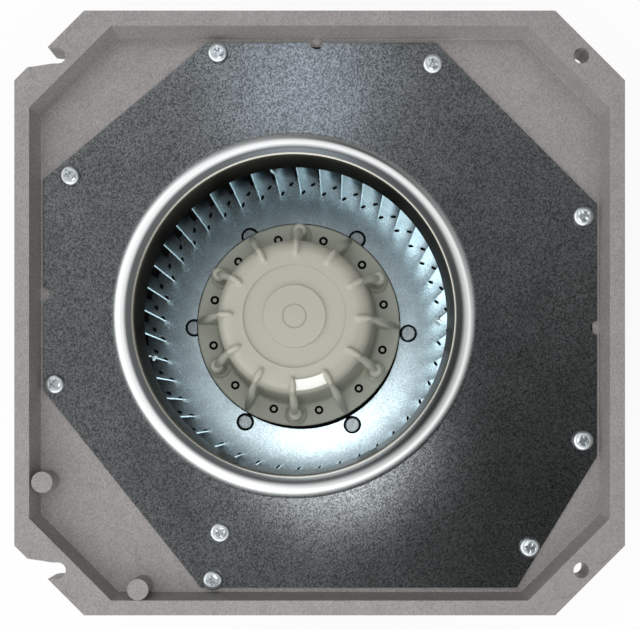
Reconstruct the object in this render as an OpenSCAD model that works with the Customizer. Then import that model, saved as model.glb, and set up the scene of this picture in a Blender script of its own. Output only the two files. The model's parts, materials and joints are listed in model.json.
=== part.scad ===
// Centrifugal fan with an external-rotor motor in a cast scroll housing.
// It lies on its back: +Z points out of the inlet, and the air leaves towards -Y.

/* [Housing] */
// Width of the housing along X
housing_w = 350; // [344:1:380]
// Length of the housing along Y
housing_l = 346.6; // [342:0.2:376]
// Depth of the housing from its back to its rim
housing_d = 128; // [124:1:150]
// Length cut off each side at a corner
corner_cut = 40; // [36:1:44]
// Width of the rim along the sides
rim_w = 8.5; // [6:0.5:9]
// Width of the rim across a corner
corner_rim_w = 17; // [15:0.5:19]
// Depth of the tray below the rim
tray_d = 13.5; // [11:0.5:16]
// Run of the sloped tray wall, from rim to floor
tray_draft = 2.4; // [0.4:0.2:3]
// Thickness of the tray floor
floor_t = 3.5; // [2.5:0.5:5]
// Thickness of the scroll wall
scroll_wall = 4; // [3:0.5:5]
// Thickness of the back wall
back_t = 4; // [3:0.5:5]
// Radius of the two round posts in the tray
post_r = 6.1; // [4:0.1:7]
// Thickness of the stiffening ribs under the tray
rib_t = 4; // [3:0.5:6]

/* [Corner fixings] */
// Inset of the fixing holes from the housing's sides along X
fix_inset_x = 25; // [23:0.5:27]
// Inset of the fixing holes from the housing's sides along Y
fix_inset_y = 25.8; // [24:0.2:28]
// Diameter of the fixing holes, and width of the open slots
fix_d = 9; // [7:0.5:10]
// Width of the flared mouth of an open slot, at the housing's side
slot_mouth_w = 16; // [12:0.5:18]

/* [Scroll] */
// Gap between the wheel's edge and the scroll's first arc
scroll_gap = 24.3; // [22:0.1:27]
// Distance of the scroll's inner face from the housing's left side
scroll_left = 19.3; // [18.5:0.1:22]
// Distance of the scroll's inner face from the housing's right side
scroll_right = 14.9; // [14:0.1:18]
// Distance of the scroll's inner face from the housing's top side
scroll_top = 15.4; // [15:0.1:18]
// Distance of the outlet's tongue wall from the fan axis
tongue_x = 38; // [34:0.5:42]
// Inset of the outlet mouth from the housing's side
outlet_inset = 2.3; // [1:0.1:6]

/* [Inlet plate] */
// Thickness of the inlet plate's sheet
plate_t = 1.5; // [1:0.1:2]
// Gap between the plate and the tray wall along X
plate_gap_x = 1.6; // [1:0.1:3]
// Gap between the plate and the tray wall along Y
plate_gap_y = 2.6; // [1.5:0.1:4]
// Gap between the throat and the blades' inner edges, along the radius
throat_gap = 3.9; // [2.5:0.1:5]
// Depth of the throat below the plate
throat_d = 20.7; // [16:0.1:24]
// Radial run of the bell mouth, from its crown to the throat
bell_run = 2.8; // [2.4:0.1:6]
// Height of the lip's crown above the plate
lip_h = 2.7; // [2:0.1:4]
// Radial run of the lip's outer foot
lip_run = 9.8; // [7:0.1:12]
// Radius of the notches in the plate's edge
notch_r = 4; // [3:0.1:5]

/* [Plate screws] */
// Diameter of the plate screws
screw_d = 6; // [4:0.5:6]
// Length of the plate screws below the head
screw_l = 14; // [10:1:18]
// Diameter of the screw heads
head_d = 12; // [9:0.5:13]
// Height of the screw heads
head_h = 3.8; // [3:0.1:5]
// Radial clearance of a screw in its hole
screw_gap = 0.15; // [0.1:0.05:0.4]
// Metal round a screw hole in its boss
boss_wall = 4; // [3:0.5:5]

/* [Wheel] */
// Number of blades
blade_n = 42; // [36:1:46]
// Radius of the blades' inner edges
blade_in_r = 96; // [92:0.5:99]
// Radius of a blade's curve
blade_arc_r = 44; // [40:0.5:48]
// Tilt of a blade from the radius at its inner edge, in degrees
blade_in_tilt = 44; // [40:1:48]
// Tilt of a blade from the radius at its outer edge, in degrees
blade_out_tilt = 64; // [60:1:68]
// Thickness of a blade
blade_t = 1; // [0.6:0.1:1.4]
// Thickness of the wheel's back plate
wheel_t = 1.5; // [1:0.1:2.5]
// Thickness of the wheel's front ring
ring_t = 1.2; // [0.8:0.1:2]
// Edge of the back plate and the front ring outside the blades
wheel_edge = 1.2; // [0.5:0.1:2.5]
// Gap between the housing's back wall and the wheel's back plate
wheel_back_gap = 6.5; // [6.3:0.1:9]
// Gap between the throat and the front ring
wheel_front_gap = 2.3; // [1.5:0.1:4]
// Turn of the first blade about the fan axis, in degrees
blade_phase = 4.4; // [0:0.1:8]

/* [Rotor bell] */
// Outer radius of the rotor bell
rotor_r = 66.8; // [65:0.1:68]
// Thickness of the bell's round wall
cup_wall = 4.8; // [4:0.1:6]
// Height of the bell's step above the wheel's back plate
step_h = 42; // [40:0.5:50]
// Thickness of the bell's step
step_t = 4; // [3:0.1:5]
// Height of the dome above the step
dome_h = 58; // [54:0.5:62]
// Wall of the dome
dome_wall = 4; // [3:0.1:4.5]
// Distance of the dome's foot outside the air gap
dome_foot = 1.5; // [1:0.1:3]
// Narrowing of the dome up to its shoulder
dome_taper = 5; // [3:0.1:6]
// Radius of the dome's rounded shoulder
shoulder_r = 10.2; // [8:0.1:12]
// Width of the raised land round the dome's face
land_w = 5.3; // [3:0.1:7]
// Depth of the recess in the dome's face
recess_d = 1.6; // [0.8:0.1:2.2]
// Radius of the raised disc in the dome's face
disc_r = 18; // [15:0.1:20]
// Radius of the small boss on the disc
nose_r = 7.4; // [5:0.1:9]
// Thickness of the fins on the dome
fin_t = 3.2; // [2:0.1:5]
// Radius of the round foot of a stub on the step
foot_r = 6.6; // [5.5:0.1:7]
// Radius of a stub on the step
stub_r = 4.6; // [3.5:0.1:5.2]
// Height of a stub above the step
stub_h = 9; // [5:0.1:14]
// Radius of the dimples on the step
dimple_r = 2.9; // [1.5:0.1:3.4]
// Depth of the dimples
dimple_d = 2; // [1:0.1:2.5]
// Width of the flange under the wheel's back plate
cup_flange_w = 14.2; // [13.4:0.1:16]
// Thickness of that flange
cup_flange_t = 3; // [2:0.1:3.5]
// Turn of the bell about the fan axis, in degrees
rotor_phase = -1.5; // [-5:0.5:5]

/* [Rivets and clips] */
// Diameter of a rivet's shank
rivet_d = 5; // [4:0.1:6]
// Diameter of a rivet's head
rivet_head_d = 9.4; // [8:0.1:10.4]
// Height of a rivet's head
rivet_head_h = 1.8; // [1.2:0.1:2]
// Distance of the rivets outside the bell's wall
rivet_out = 8.2; // [7.2:0.1:8.4]
// Height of a balance clip
clip_h = 8; // [5:0.5:12]
// Thickness of a balance clip's sheet
clip_t = 1; // [0.6:0.1:1.2]
// Clearance of a balance clip beside its blade
clip_gap = 0.3; // [0.25:0.05:0.4]

/* [Motor] */
// Air gap between rotor and stator
air_gap = 0.4; // [0.3:0.05:0.8]
// Radial thickness of the rotor core
core_t = 12; // [10:0.1:13]
// Thickness of a cage end ring
cage_t = 3; // [2:0.1:4]
// Number of stator slots
slot_n = 24; // [18:6:24]
// Depth of a stator slot
slot_d = 18; // [15:0.1:20]
// Width of a stator slot
slot_w = 3.6; // [2.6:0.1:4]
// Width of a slot's opening at the air gap
slot_mouth = 1.4; // [1:0.1:2]
// Height of the tooth tips outside the slots
tip_h = 2.6; // [2:0.1:3.4]
// Clearance of the winding in its slots
wire_gap = 0.4; // [0.3:0.05:0.6]
// Height of a coil head
coil_h = 9; // [7:0.1:9.5]
// Thickness of an end insulator
insulator_t = 1; // [0.8:0.1:1.6]
// Gap between the rear coil head and the motor flange
coil_gap = 1; // [0.6:0.1:2]

/* [Motor carrier] */
// Depth of the pocket in the housing's back
pocket_d = 5; // [4:0.1:5.4]
// Thickness of the motor seat
seat_t = 4; // [3:0.1:4.4]
// Gap between the motor seat and the rotor core's seat in the bell
seat_gap = 4; // [3:0.1:5]
// Wall of the motor seat's pocket
seat_wall = 4; // [3:0.1:4.5]
// Thickness of the motor flange
flange_t = 4; // [3:0.1:5]
// Radius of the motor flange
flange_r = 42; // [41:0.1:42.5]
// Wall of the bearing tube
tube_wall = 4; // [3:0.1:5]
// Diameter of the flange screws
flange_screw_d = 5; // [4:0.5:6]
// Distance of the flange screws inside the flange's edge
flange_screw_in = 7; // [6:0.1:9]
// Radius of the grommet's lips
grommet_r = 5; // [4.6:0.1:5.2]
// Diameter of the grommet's hole
grommet_hole_d = 5; // [4:0.1:6]
// Diameter of the earth screw
earth_d = 4; // [3:0.5:5]

/* [Bearings and shaft] */
// Bore of the bearings
bearing_bore = 12; // [10:0.5:14]
// Outer diameter of the bearings
bearing_od = 32; // [30:0.5:34]
// Width of the bearings
bearing_w = 10; // [8:0.5:12]
// Distance between the two bearings
bearing_span = 46; // [40:0.5:50]
// Diameter of the balls
ball_d = 5.9; // [5:0.1:6.2]
// Number of balls in a bearing
ball_n = 7; // [6:1:8]
// Thickness of the cover behind the rear bearing
cover_t = 1.4; // [1:0.1:2]
// Height of the preload spring
spring_h = 1.6; // [1.4:0.1:2.2]

/* [Clearances] */
// Radial clearance of pieces that are pressed or seated in each other
fit_gap = 0.03; // [0.02:0.01:0.08]
// Radial clearance of the balls in their tracks
ball_gap = 0.05; // [0.03:0.01:0.08]

/* [Hidden] */
$fn = 96;

// Length that a cut runs past the face it leaves
past = 1;
// Overlap of the plate on the tray floor at the outlet
floor_lap = 10;

// Heights above the back
floor_z = housing_d - tray_d;
floor_under_z = floor_z - floor_t;
plate_z = floor_z + plate_t;
throat_z = plate_z - throat_d;
wheel_z = back_t + wheel_back_gap;
wheel_top_z = wheel_z + wheel_t;
ring_z = throat_z - wheel_front_gap - ring_t;
blade_h = ring_z - wheel_top_z;
step_z = wheel_top_z + step_h;
face_z = step_z + dome_h;
seat_z = pocket_d + seat_t;
flange_z = seat_z + flange_t;
stack_z = flange_z + coil_gap + coil_h + insulator_t;
stack_top_z = step_z - step_t - cage_t;
rear_bearing_z = pocket_d + cover_t + spring_h;
front_bearing_z = rear_bearing_z + bearing_w + bearing_span;
hub_z = front_bearing_z + bearing_w;

// Radii about the fan axis
blade_centre = [blade_in_r - blade_arc_r * sin(blade_in_tilt), -blade_arc_r * cos(blade_in_tilt)];
wheel_r = norm(blade_point(blade_out_tilt, 0)) + blade_t / 2 + wheel_edge;
throat_r = blade_in_r - throat_gap;
crown_r = throat_r + bell_run;
lip_foot_r = crown_r + lip_run;
cup_bore_r = rotor_r - cup_wall;
core_in_r = cup_bore_r - core_t;
stack_r = core_in_r - air_gap;
slot_out_r = stack_r - tip_h;
slot_in_r = slot_out_r - slot_d;
tube_r = bearing_od / 2 + tube_wall;
dome_r = core_in_r + dome_foot;
dome_top_r = dome_r - dome_taper;
face_r = dome_top_r - shoulder_r;
seat_r = cup_bore_r - seat_gap;
pocket_r = seat_r - seat_wall;
shaft_r = bearing_bore / 2;
rivet_ring_r = rotor_r + rivet_out;
boss_r = screw_d / 2 + boss_wall;

// The stubs and dimples sit near the middle of the step
step_mid_r = (dome_r + rotor_r) / 2;
stub_ring_r = step_mid_r - 1;
dimple_ring_r = step_mid_r - 2;

// Scroll of four arcs about the corners of a small square, each a step larger than the last.
// The step fills the room that the housing leaves, and the fan axis stands in the middle of that room.
scroll_r0 = wheel_r + scroll_gap;
scroll_room = min(housing_w - scroll_left - scroll_right, housing_l - 2 * scroll_top);
scroll_step = (scroll_room - 2 * scroll_r0) / 3;
scroll_half = scroll_step / 2;
axis_x = (scroll_left - scroll_right) / 2 - scroll_step;
scroll_centres = [
    [-scroll_half, scroll_half], [scroll_half, scroll_half],
    [scroll_half, -scroll_half], [-scroll_half, -scroll_half]
];
outlet_y = -housing_l / 2 + outlet_inset;
// The tray floor is open over the scroll up to this line, and closed over the outlet's mouth
floor_open_y = -housing_l / 2 + rim_w + tray_draft + plate_gap_y + floor_lap;

// Distances of the plate screws outside the scroll's inner face
screw_near = 5.2;
screw_side = 7.2;
screw_left = 8.6;
screw_corner = 10.1;
// Plate screws round the scroll: angle about the fan axis, and distance outside the scroll's inner face
scroll_screws = [
    [106.2, screw_near], [61.1, screw_near], [18.8, screw_side], [-23.5, screw_near],
    [-44.6, screw_corner], [196.1, screw_left], [148.1, screw_left]
];
// One more screw stands beside the outlet's tongue wall.
// The last one stands as near to it as the tongue wall and a space between the two allow.
tongue_screw_out = 9.5;
tongue_screw_up = 15.8;
last_screw_out = 5.4;
last_screw_space = 27;

plate_half_x = housing_w / 2 - rim_w - tray_draft - plate_gap_x;
plate_half_y = housing_l / 2 - rim_w - tray_draft - plate_gap_y;
// Distances of the plate's cut corners outside the scroll's inner face
cut_near = 5.6;
cut_outlet = 14;
cut_tongue = 9.9;
// Corners cut off the plate: direction about the fan axis, and distance outside the scroll's inner face
plate_cuts = [[129.9, cut_near], [45, cut_near], [-31.4, cut_outlet], [218.6, cut_tongue]];
// Notches in the plate's top, left and right edges
notch_top_x = -2;
notch_left_y = 12;
notch_right_y = -7.4;
notches = [[notch_top_x, plate_half_y], [-plate_half_x, notch_left_y], [plate_half_x, notch_right_y]];

// Stiffening ribs: height below the tray, and reach outside the scroll's wall
rib_h = 30;
rib_run = 24;
// Posts in the tray: distance from the near rim's outer side, and place along it
post_left_in = 9.7;
post_left_y = -97;
post_bottom_in = 8.6;
post_bottom_x = -104.3;

// Blades that carry a balance clip, with the clip's height above the back plate
clip_low = 3;
clip_mid = 46;
clip_down = 9.8;
clips = [[0, clip_low], [11, blade_h - clip_h - clip_down], [22, clip_mid]];

// Places of things that repeat
rivet_angles = [for (k = [0:5]) rotor_phase + 60 * k];
stub_angles = [for (k = [0:5]) 30 + 60 * k];
fin_angles = [for (k = [0:5]) 60 * k];
dimple_angles = [for (k = [0:11]) 15 + 30 * k];
flange_screw_angles = [for (k = [0:3]) 45 + 90 * k];
grommet_angle = 180;
earth_angle = 140;
lead_ring_r = flange_r + grommet_r + 0.6;

// Radius of the scroll's inner face in one direction
function scroll_quarter(a) = a > 180 ? 0 : a > 90 ? 1 : a > 0 ? 2 : 3;
function ray_r(c, r, u) = c * u + sqrt(r * r - pow(c[0] * u[1] - c[1] * u[0], 2));
function scroll_face_r(a) = let (q = scroll_quarter(a))
    ray_r(scroll_centres[q], scroll_r0 + q * scroll_step, [cos(a), sin(a)]);

// Point at an angle about the fan axis, at a distance outside the scroll's inner face
function scroll_point(a, out) = (scroll_face_r(a) + out) * [cos(a), sin(a)];

// Angle between two rays from the fan axis whose points at radii r and d lie at least a space apart
function spread(r, d, space) = acos(min(1, (r * r + d * d - space * space) / (2 * r * d)));

// Places of the plate screws, about the fan axis
tongue_screw = [-tongue_x - tongue_screw_out, outlet_y + tongue_screw_up];
tongue_screw_a = 360 + atan2(tongue_screw[1], tongue_screw[0]);
last_screw_r = scroll_face_r(tongue_screw_a) + screw_left;
last_screw_a = min(
    180 + acos((tongue_x + last_screw_out) / last_screw_r),
    tongue_screw_a - spread(last_screw_r, norm(tongue_screw), last_screw_space)
);
screw_points = concat(
    [for (s = scroll_screws) scroll_point(s[0], s[1])],
    [tongue_screw, scroll_point(last_screw_a, screw_left)]
);

// Point of a blade's curve where it tilts by t from the radius, moved off the curve
function blade_point(t, off) = blade_centre + (blade_arc_r + off) * [sin(t), cos(t)];

// Points along a quarter of an ellipse, from its top towards its side
function quarter(c, a, b, n) = [for (i = [0:n]) c + [a * sin(90 * i / n), b * cos(90 * i / n)]];
function reversed(p) = [for (i = [len(p) - 1:-1:0]) p[i]];

// Shapes that repeat
module at_axis() {
    translate([axis_x, 0, 0]) children();
}

module ring(r_in, r_out, h) {
    linear_extrude(h) difference() {
        circle(r_out);
        circle(r_in);
    }
}

module octagon(half_x, half_y, cut) {
    polygon([
        [half_x, half_y - cut], [half_x - cut, half_y], [cut - half_x, half_y], [-half_x, half_y - cut],
        [-half_x, cut - half_y], [cut - half_x, -half_y], [half_x - cut, -half_y], [half_x, cut - half_y]
    ]);
}

// Outline inside the rim, at an inset from the rim's top edge
module tray_outline(inset) {
    w = rim_w + inset;
    octagon(housing_w / 2 - w, housing_l / 2 - w, corner_cut + (corner_rim_w + inset) * sqrt(2) - 2 * w);
}

// Outline of the scroll, grown outwards, down to a given outlet line.
// Each arc's sector laps over into the next one, which is larger there.
module scroll_outline(grow, end_y) {
    far = housing_w;
    lap = scroll_gap;
    corners = [[-far, -far], [-far, 0], [0, -lap], [0, -far]];
    sizes = [[far, far + lap], [far + lap, far], [far, far + lap], [far, far]];
    translate([axis_x, 0]) intersection() {
        union() {
            for (q = [0:3]) intersection() {
                translate(scroll_centres[q]) circle(scroll_r0 + q * scroll_step + grow, $fn = 180);
                translate(scroll_centres[q] + corners[q]) square(sizes[q]);
            }
            circle(wheel_r);
            translate([-tongue_x - grow, end_y]) square([tongue_x + grow, -end_y]);
        }
        translate([-far, end_y]) square(2 * far);
    }
}

// Section of the drawn lip and its bell mouth
module lip_section() {
    top = quarter([crown_r, 0], lip_run, lip_h, 6);
    under = quarter([crown_r, -plate_t], lip_run - plate_t, lip_h, 6);
    bell = quarter([0, 0], -bell_run, lip_h + throat_d, 14);
    bell_under = quarter([0, 0], plate_t - bell_run, lip_h + throat_d - plate_t, 14);
    polygon(concat(
        reversed([for (p = bell) p + [crown_r, -throat_d]]),
        top,
        [[lip_foot_r, -plate_t]],
        reversed(under),
        [for (p = bell_under) p + [crown_r, -throat_d]]
    ));
}

// Pan-head screw that stands along +Z, its head's seat at the origin
module pan_screw(d, length, hd, hh) {
    recess_w = hd / 8;
    difference() {
        union() {
            rotate_extrude() polygon([
                [0, 0], [hd / 2, 0], [hd / 2, hh * 0.45], [hd * 0.44, hh * 0.75], [hd * 0.3, hh], [0, hh]
            ]);
            translate([0, 0, -length]) cylinder(d = d, h = length + hh / 4);
        }
        for (a = [0, 90]) rotate(a)
            translate([-hd / 4, -recess_w / 2, hh / 2]) cube([hd / 2, recess_w, hh]);
    }
}

// Square frame with a sunk floor, open over the scroll
module inlet_tray() {
    color("silver") difference() {
        union() {
            difference() {
                translate([0, 0, floor_under_z]) linear_extrude(floor_t + tray_d)
                    octagon(housing_w / 2, housing_l / 2, corner_cut);
                hull() {
                    translate([0, 0, floor_z]) linear_extrude(0.01) tray_outline(tray_draft);
                    translate([0, 0, housing_d]) linear_extrude(past) tray_outline(0);
                }
                translate([0, 0, floor_under_z - past]) linear_extrude(floor_t + 2 * past)
                    scroll_outline(0, floor_open_y);
            }
            tray_posts();
        }
        corner_fixings();
        at_axis() for (p = screw_points) translate([p[0], p[1], floor_under_z - past])
            cylinder(d = screw_d + 2 * screw_gap, h = floor_t + 2 * past);
    }
}

// Scroll wall and back under the tray, with the bosses that the plate screws hold in
module scroll_housing() {
    color("darkgray") difference() {
        union() {
            difference() {
                union() {
                    linear_extrude(floor_under_z) scroll_outline(scroll_wall, outlet_y);
                    screw_bosses();
                    tray_ribs();
                }
                translate([0, 0, back_t]) linear_extrude(floor_under_z) scroll_outline(0, outlet_y - past);
            }
            at_axis() cylinder(r = seat_r, h = seat_z);
        }
        at_axis() for (p = screw_points) translate([p[0], p[1], floor_z - screw_l])
            cylinder(d = screw_d + 2 * screw_gap, h = screw_l);
        motor_seat_cuts();
    }
}

// Bosses that hang under the tray floor round the plate screws
module screw_bosses() {
    boss_l = screw_l + boss_wall;
    at_axis() for (p = screw_points)
        translate([p[0], p[1], floor_z - boss_l]) cylinder(r = boss_r, h = boss_l - floor_t);
}

// Upright ribs between the scroll and the tray's corners
module tray_ribs() {
    rib_z = floor_under_z - rib_h;
    for (a = [38, 142, 218]) at_axis() rotate(a)
        translate([scroll_face_r(a), -rib_t / 2, 0]) rotate([90, 0, 0]) mirror([0, 0, 1])
            linear_extrude(rib_t) polygon([
                [0, rib_z], [scroll_wall, rib_z],
                [scroll_wall + rib_run, floor_under_z], [0, floor_under_z]
            ]);
}

// Two round posts that stand against the rim, and the stud that shows in the plate's top notch
module tray_posts() {
    posts = [
        [post_left_in + post_r - housing_w / 2, post_left_y],
        [post_bottom_x, post_bottom_in + post_r - housing_l / 2]
    ];
    for (p = posts)
        translate([p[0], p[1], floor_z - floor_t / 2]) cylinder(r = post_r, h = tray_d + floor_t / 2);
    translate([notches[0][0], notches[0][1] + notch_r * 0.2, floor_z - floor_t / 2])
        cylinder(r = notch_r * 0.6, h = floor_t / 2 + plate_t);
}

// Round holes on the right, open slots with flared mouths on the left
module corner_fixings() {
    x = housing_w / 2 - fix_inset_x;
    y = housing_l / 2 - fix_inset_y;
    straight = fix_d / 3;
    far = fix_inset_x + past;
    for (side = [-1, 1]) {
        translate([x, side * y, floor_under_z - past]) cylinder(d = fix_d, h = housing_d);
        translate([-x, side * y, floor_under_z - past]) cylinder(d = fix_d, h = housing_d);
        translate([-x, side * y, floor_under_z - past]) linear_extrude(housing_d) polygon([
            [0, fix_d / 2], [-straight, fix_d / 2], [-far, slot_mouth_w / 2],
            [-far, -slot_mouth_w / 2], [-straight, -fix_d / 2], [0, -fix_d / 2]
        ]);
    }
}

// Pocket in the back, and the holes in the motor seat
module motor_seat_cuts() {
    at_axis() {
        translate([0, 0, -past]) cylinder(r = pocket_r, h = pocket_d + past);
        cylinder(r = tube_r + fit_gap, h = seat_z + past);
        for (a = flange_screw_angles) rotate(a) translate([flange_r - flange_screw_in, 0, 0])
            cylinder(d = flange_screw_d + 2 * screw_gap, h = seat_z + past);
        rotate(grommet_angle) translate([lead_ring_r, 0, 0])
            cylinder(d = grommet_hole_d + 2 * grommet_wall + 2 * fit_gap, h = seat_z + past);
        rotate(earth_angle) translate([lead_ring_r, 0, 0])
            cylinder(d = earth_d + 2 * screw_gap, h = seat_z + past);
    }
}

module inlet_plate() {
    color("slategray") union() {
        translate([0, 0, floor_z]) linear_extrude(plate_t) difference() {
            plate_outline();
            at_axis() circle(lip_foot_r - plate_t);
            for (p = notches) translate(p) circle(notch_r);
            at_axis() for (p = screw_points) translate(p) circle(d = screw_d + 4 * screw_gap);
        }
        at_axis() translate([0, 0, plate_z]) rotate_extrude($fn = 180) lip_section();
    }
}

module plate_outline() {
    far = housing_w;
    difference() {
        square([2 * plate_half_x, 2 * plate_half_y], center = true);
        at_axis() for (c = plate_cuts)
            rotate(c[0]) translate([scroll_face_r(c[0]) + c[1], -far]) square([far, 2 * far]);
    }
}

module inlet_plate_screws() {
    color("gainsboro") at_axis() for (k = [0:len(screw_points) - 1])
        translate([screw_points[k][0], screw_points[k][1], plate_z]) rotate(37 * k)
            pan_screw(screw_d, screw_l + plate_t - past, head_d, head_h);
}

// Stator carrier: flange on the motor seat, and the tube that holds both bearings
module motor_flange() {
    bore_r = bearing_od / 2 + fit_gap;
    tube_top = hub_z + 2;
    color("darkgray") at_axis() difference() {
        union() {
            translate([0, 0, seat_z]) cylinder(r = flange_r, h = flange_t);
            translate([0, 0, pocket_d]) cylinder(r = tube_r, h = tube_top - pocket_d);
        }
        translate([0, 0, pocket_d - past])
            cylinder(r = bore_r, h = past + rear_bearing_z + bearing_w - pocket_d);
        cylinder(r = bearing_od / 2 - 2, h = tube_top + past);
        translate([0, 0, front_bearing_z]) cylinder(r = bore_r, h = tube_top);
        for (a = flange_screw_angles) rotate(a) translate([flange_r - flange_screw_in, 0, seat_z - past])
            cylinder(d = flange_screw_d + 2 * screw_gap, h = flange_t + 2 * past);
    }
}

module motor_flange_screws() {
    color("gainsboro") at_axis() for (a = flange_screw_angles)
        rotate(a) translate([flange_r - flange_screw_in, 0, pocket_d]) mirror([0, 0, 1])
            pan_screw(flange_screw_d, seat_t + flange_t, flange_screw_d * 1.9, flange_screw_d * 0.6);
}

module earth_screw() {
    color("gold") at_axis() rotate(earth_angle) translate([lead_ring_r, 0, pocket_d]) mirror([0, 0, 1])
        pan_screw(earth_d, seat_t, earth_d * 1.9, earth_d * 0.6);
}

// Rubber sleeve of the grommet inside its hole
grommet_wall = 1.2;
grommet_lip_t = 1.4;

module cable_grommet() {
    sleeve_r = grommet_hole_d / 2 + grommet_wall;
    color("dimgray") at_axis() rotate(grommet_angle) translate([lead_ring_r, 0, 0]) difference() {
        union() {
            translate([0, 0, pocket_d - grommet_lip_t]) cylinder(r = grommet_r, h = grommet_lip_t);
            translate([0, 0, pocket_d - grommet_lip_t])
                cylinder(r = sleeve_r, h = seat_t + 2 * grommet_lip_t);
            translate([0, 0, seat_z]) cylinder(r = grommet_r, h = grommet_lip_t);
        }
        cylinder(d = grommet_hole_d, h = seat_z + grommet_lip_t + past);
    }
}

module bearing_cover() {
    color("silver") at_axis() translate([0, 0, pocket_d])
        cylinder(r = bearing_od / 2 - fit_gap, h = cover_t);
}

// Conical disc spring between the cover and the rear bearing's outer ring
module preload_spring() {
    sheet = 0.6;
    out_r = bearing_od / 2 - 0.3;
    in_r = bearing_od / 2 - ring_wall() + 0.3;
    color("steelblue") at_axis() translate([0, 0, rear_bearing_z - spring_h]) rotate_extrude() polygon([
        [in_r, 0], [in_r, sheet], [out_r, spring_h], [out_r, spring_h - sheet]
    ]);
}

// Radial wall of a bearing ring, without its track
function ring_wall() = (bearing_od - bearing_bore) / 2 * 0.33;
function pitch_r() = (bearing_od + bearing_bore) / 4;

module ball_track(z) {
    translate([0, 0, z + bearing_w / 2]) rotate_extrude()
        translate([pitch_r(), 0]) circle(ball_d / 2 + ball_gap, $fn = 48);
}

module bearing_outer(z) {
    difference() {
        translate([0, 0, z]) ring(bearing_od / 2 - ring_wall(), bearing_od / 2, bearing_w);
        ball_track(z);
    }
}

module bearing_inner(z) {
    difference() {
        translate([0, 0, z]) ring(shaft_r + fit_gap, shaft_r + ring_wall(), bearing_w);
        ball_track(z);
    }
}

module front_bearing_outer() {
    color("lightsteelblue") at_axis() bearing_outer(front_bearing_z);
}

module rear_bearing_outer() {
    color("lightsteelblue") at_axis() bearing_outer(rear_bearing_z);
}

module front_bearing_inner() {
    color("lightblue") at_axis() bearing_inner(front_bearing_z);
}

module rear_bearing_inner() {
    color("lightblue") at_axis() bearing_inner(rear_bearing_z);
}

module bearing_balls() {
    color("white") at_axis() for (z = [rear_bearing_z, front_bearing_z], k = [0:ball_n - 1])
        rotate(360 * k / ball_n) translate([pitch_r(), 0, z + bearing_w / 2]) sphere(d = ball_d, $fn = 48);
}

// Sheet shields, held in the outer rings and clear of the inner ones
module bearing_shields() {
    sheet = 0.5;
    inset = 0.3;
    ups = [inset, bearing_w - inset - sheet];
    color("gray") at_axis() for (z = [rear_bearing_z, front_bearing_z], up = ups)
        translate([0, 0, z + up])
            ring(shaft_r + ring_wall() + 0.3, bearing_od / 2 - ring_wall() - fit_gap, sheet);
}

// Outline of all the stator slots, with the winding's clearance taken off
module slot_outline(gap, with_mouth) {
    for (k = [0:slot_n - 1]) rotate(360 * k / slot_n) {
        translate([slot_in_r + gap, gap - slot_w / 2]) square([slot_d - 2 * gap, slot_w - 2 * gap]);
        if (with_mouth)
            translate([slot_out_r - past, -slot_mouth / 2]) square([tip_h + 2 * past, slot_mouth]);
    }
}

module stator_core() {
    stack_h = stack_top_z - stack_z;
    color("dimgray") at_axis() translate([0, 0, stack_z]) linear_extrude(stack_h) difference() {
        circle(stack_r);
        circle(tube_r + fit_gap);
        slot_outline(0, true);
    }
}

// Coils through the slots, and the coil head at each end
module stator_winding() {
    rear_z = stack_z - insulator_t - coil_h;
    front_z = stack_top_z + insulator_t;
    color("peru") at_axis() {
        translate([0, 0, rear_z]) ring(slot_in_r + wire_gap, slot_out_r - wire_gap - past, coil_h);
        translate([0, 0, front_z]) ring(slot_in_r + wire_gap, slot_out_r - wire_gap - past, coil_h);
        translate([0, 0, rear_z + coil_h / 2]) linear_extrude(front_z - rear_z)
            intersection() {
                slot_outline(wire_gap, false);
                circle(slot_out_r - wire_gap - past);
            }
    }
}

module end_insulator(z) {
    translate([0, 0, z]) linear_extrude(insulator_t) difference() {
        circle(slot_out_r + tip_h / 3);
        circle(tube_r + fit_gap);
        slot_outline(0, false);
    }
}

module front_end_insulator() {
    color("ivory") at_axis() end_insulator(stack_top_z);
}

module rear_end_insulator() {
    color("ivory") at_axis() end_insulator(stack_z - insulator_t);
}

// Length, width and height of the thermal cut-out
protector_l = 13;
protector_w = 8;
protector_h = 5;

// Thermal cut-out, lying on the front coil head
module thermal_protector() {
    mid_r = (slot_in_r + slot_out_r) / 2;
    head_z = stack_top_z + insulator_t + coil_h;
    color("black") at_axis() translate([-protector_l / 2, mid_r - protector_w / 2, head_z])
        cube([protector_l, protector_w, protector_h]);
}

// Outline of the dome from its foot to the edge of its face, moved inwards by a wall
function dome_curve(wall) = concat(
    [[dome_r - wall, step_z - (wall > 0 ? step_t : 0)]],
    reversed(quarter([face_r, face_z - shoulder_r], shoulder_r - wall, shoulder_r - wall, 6))
);

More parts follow.
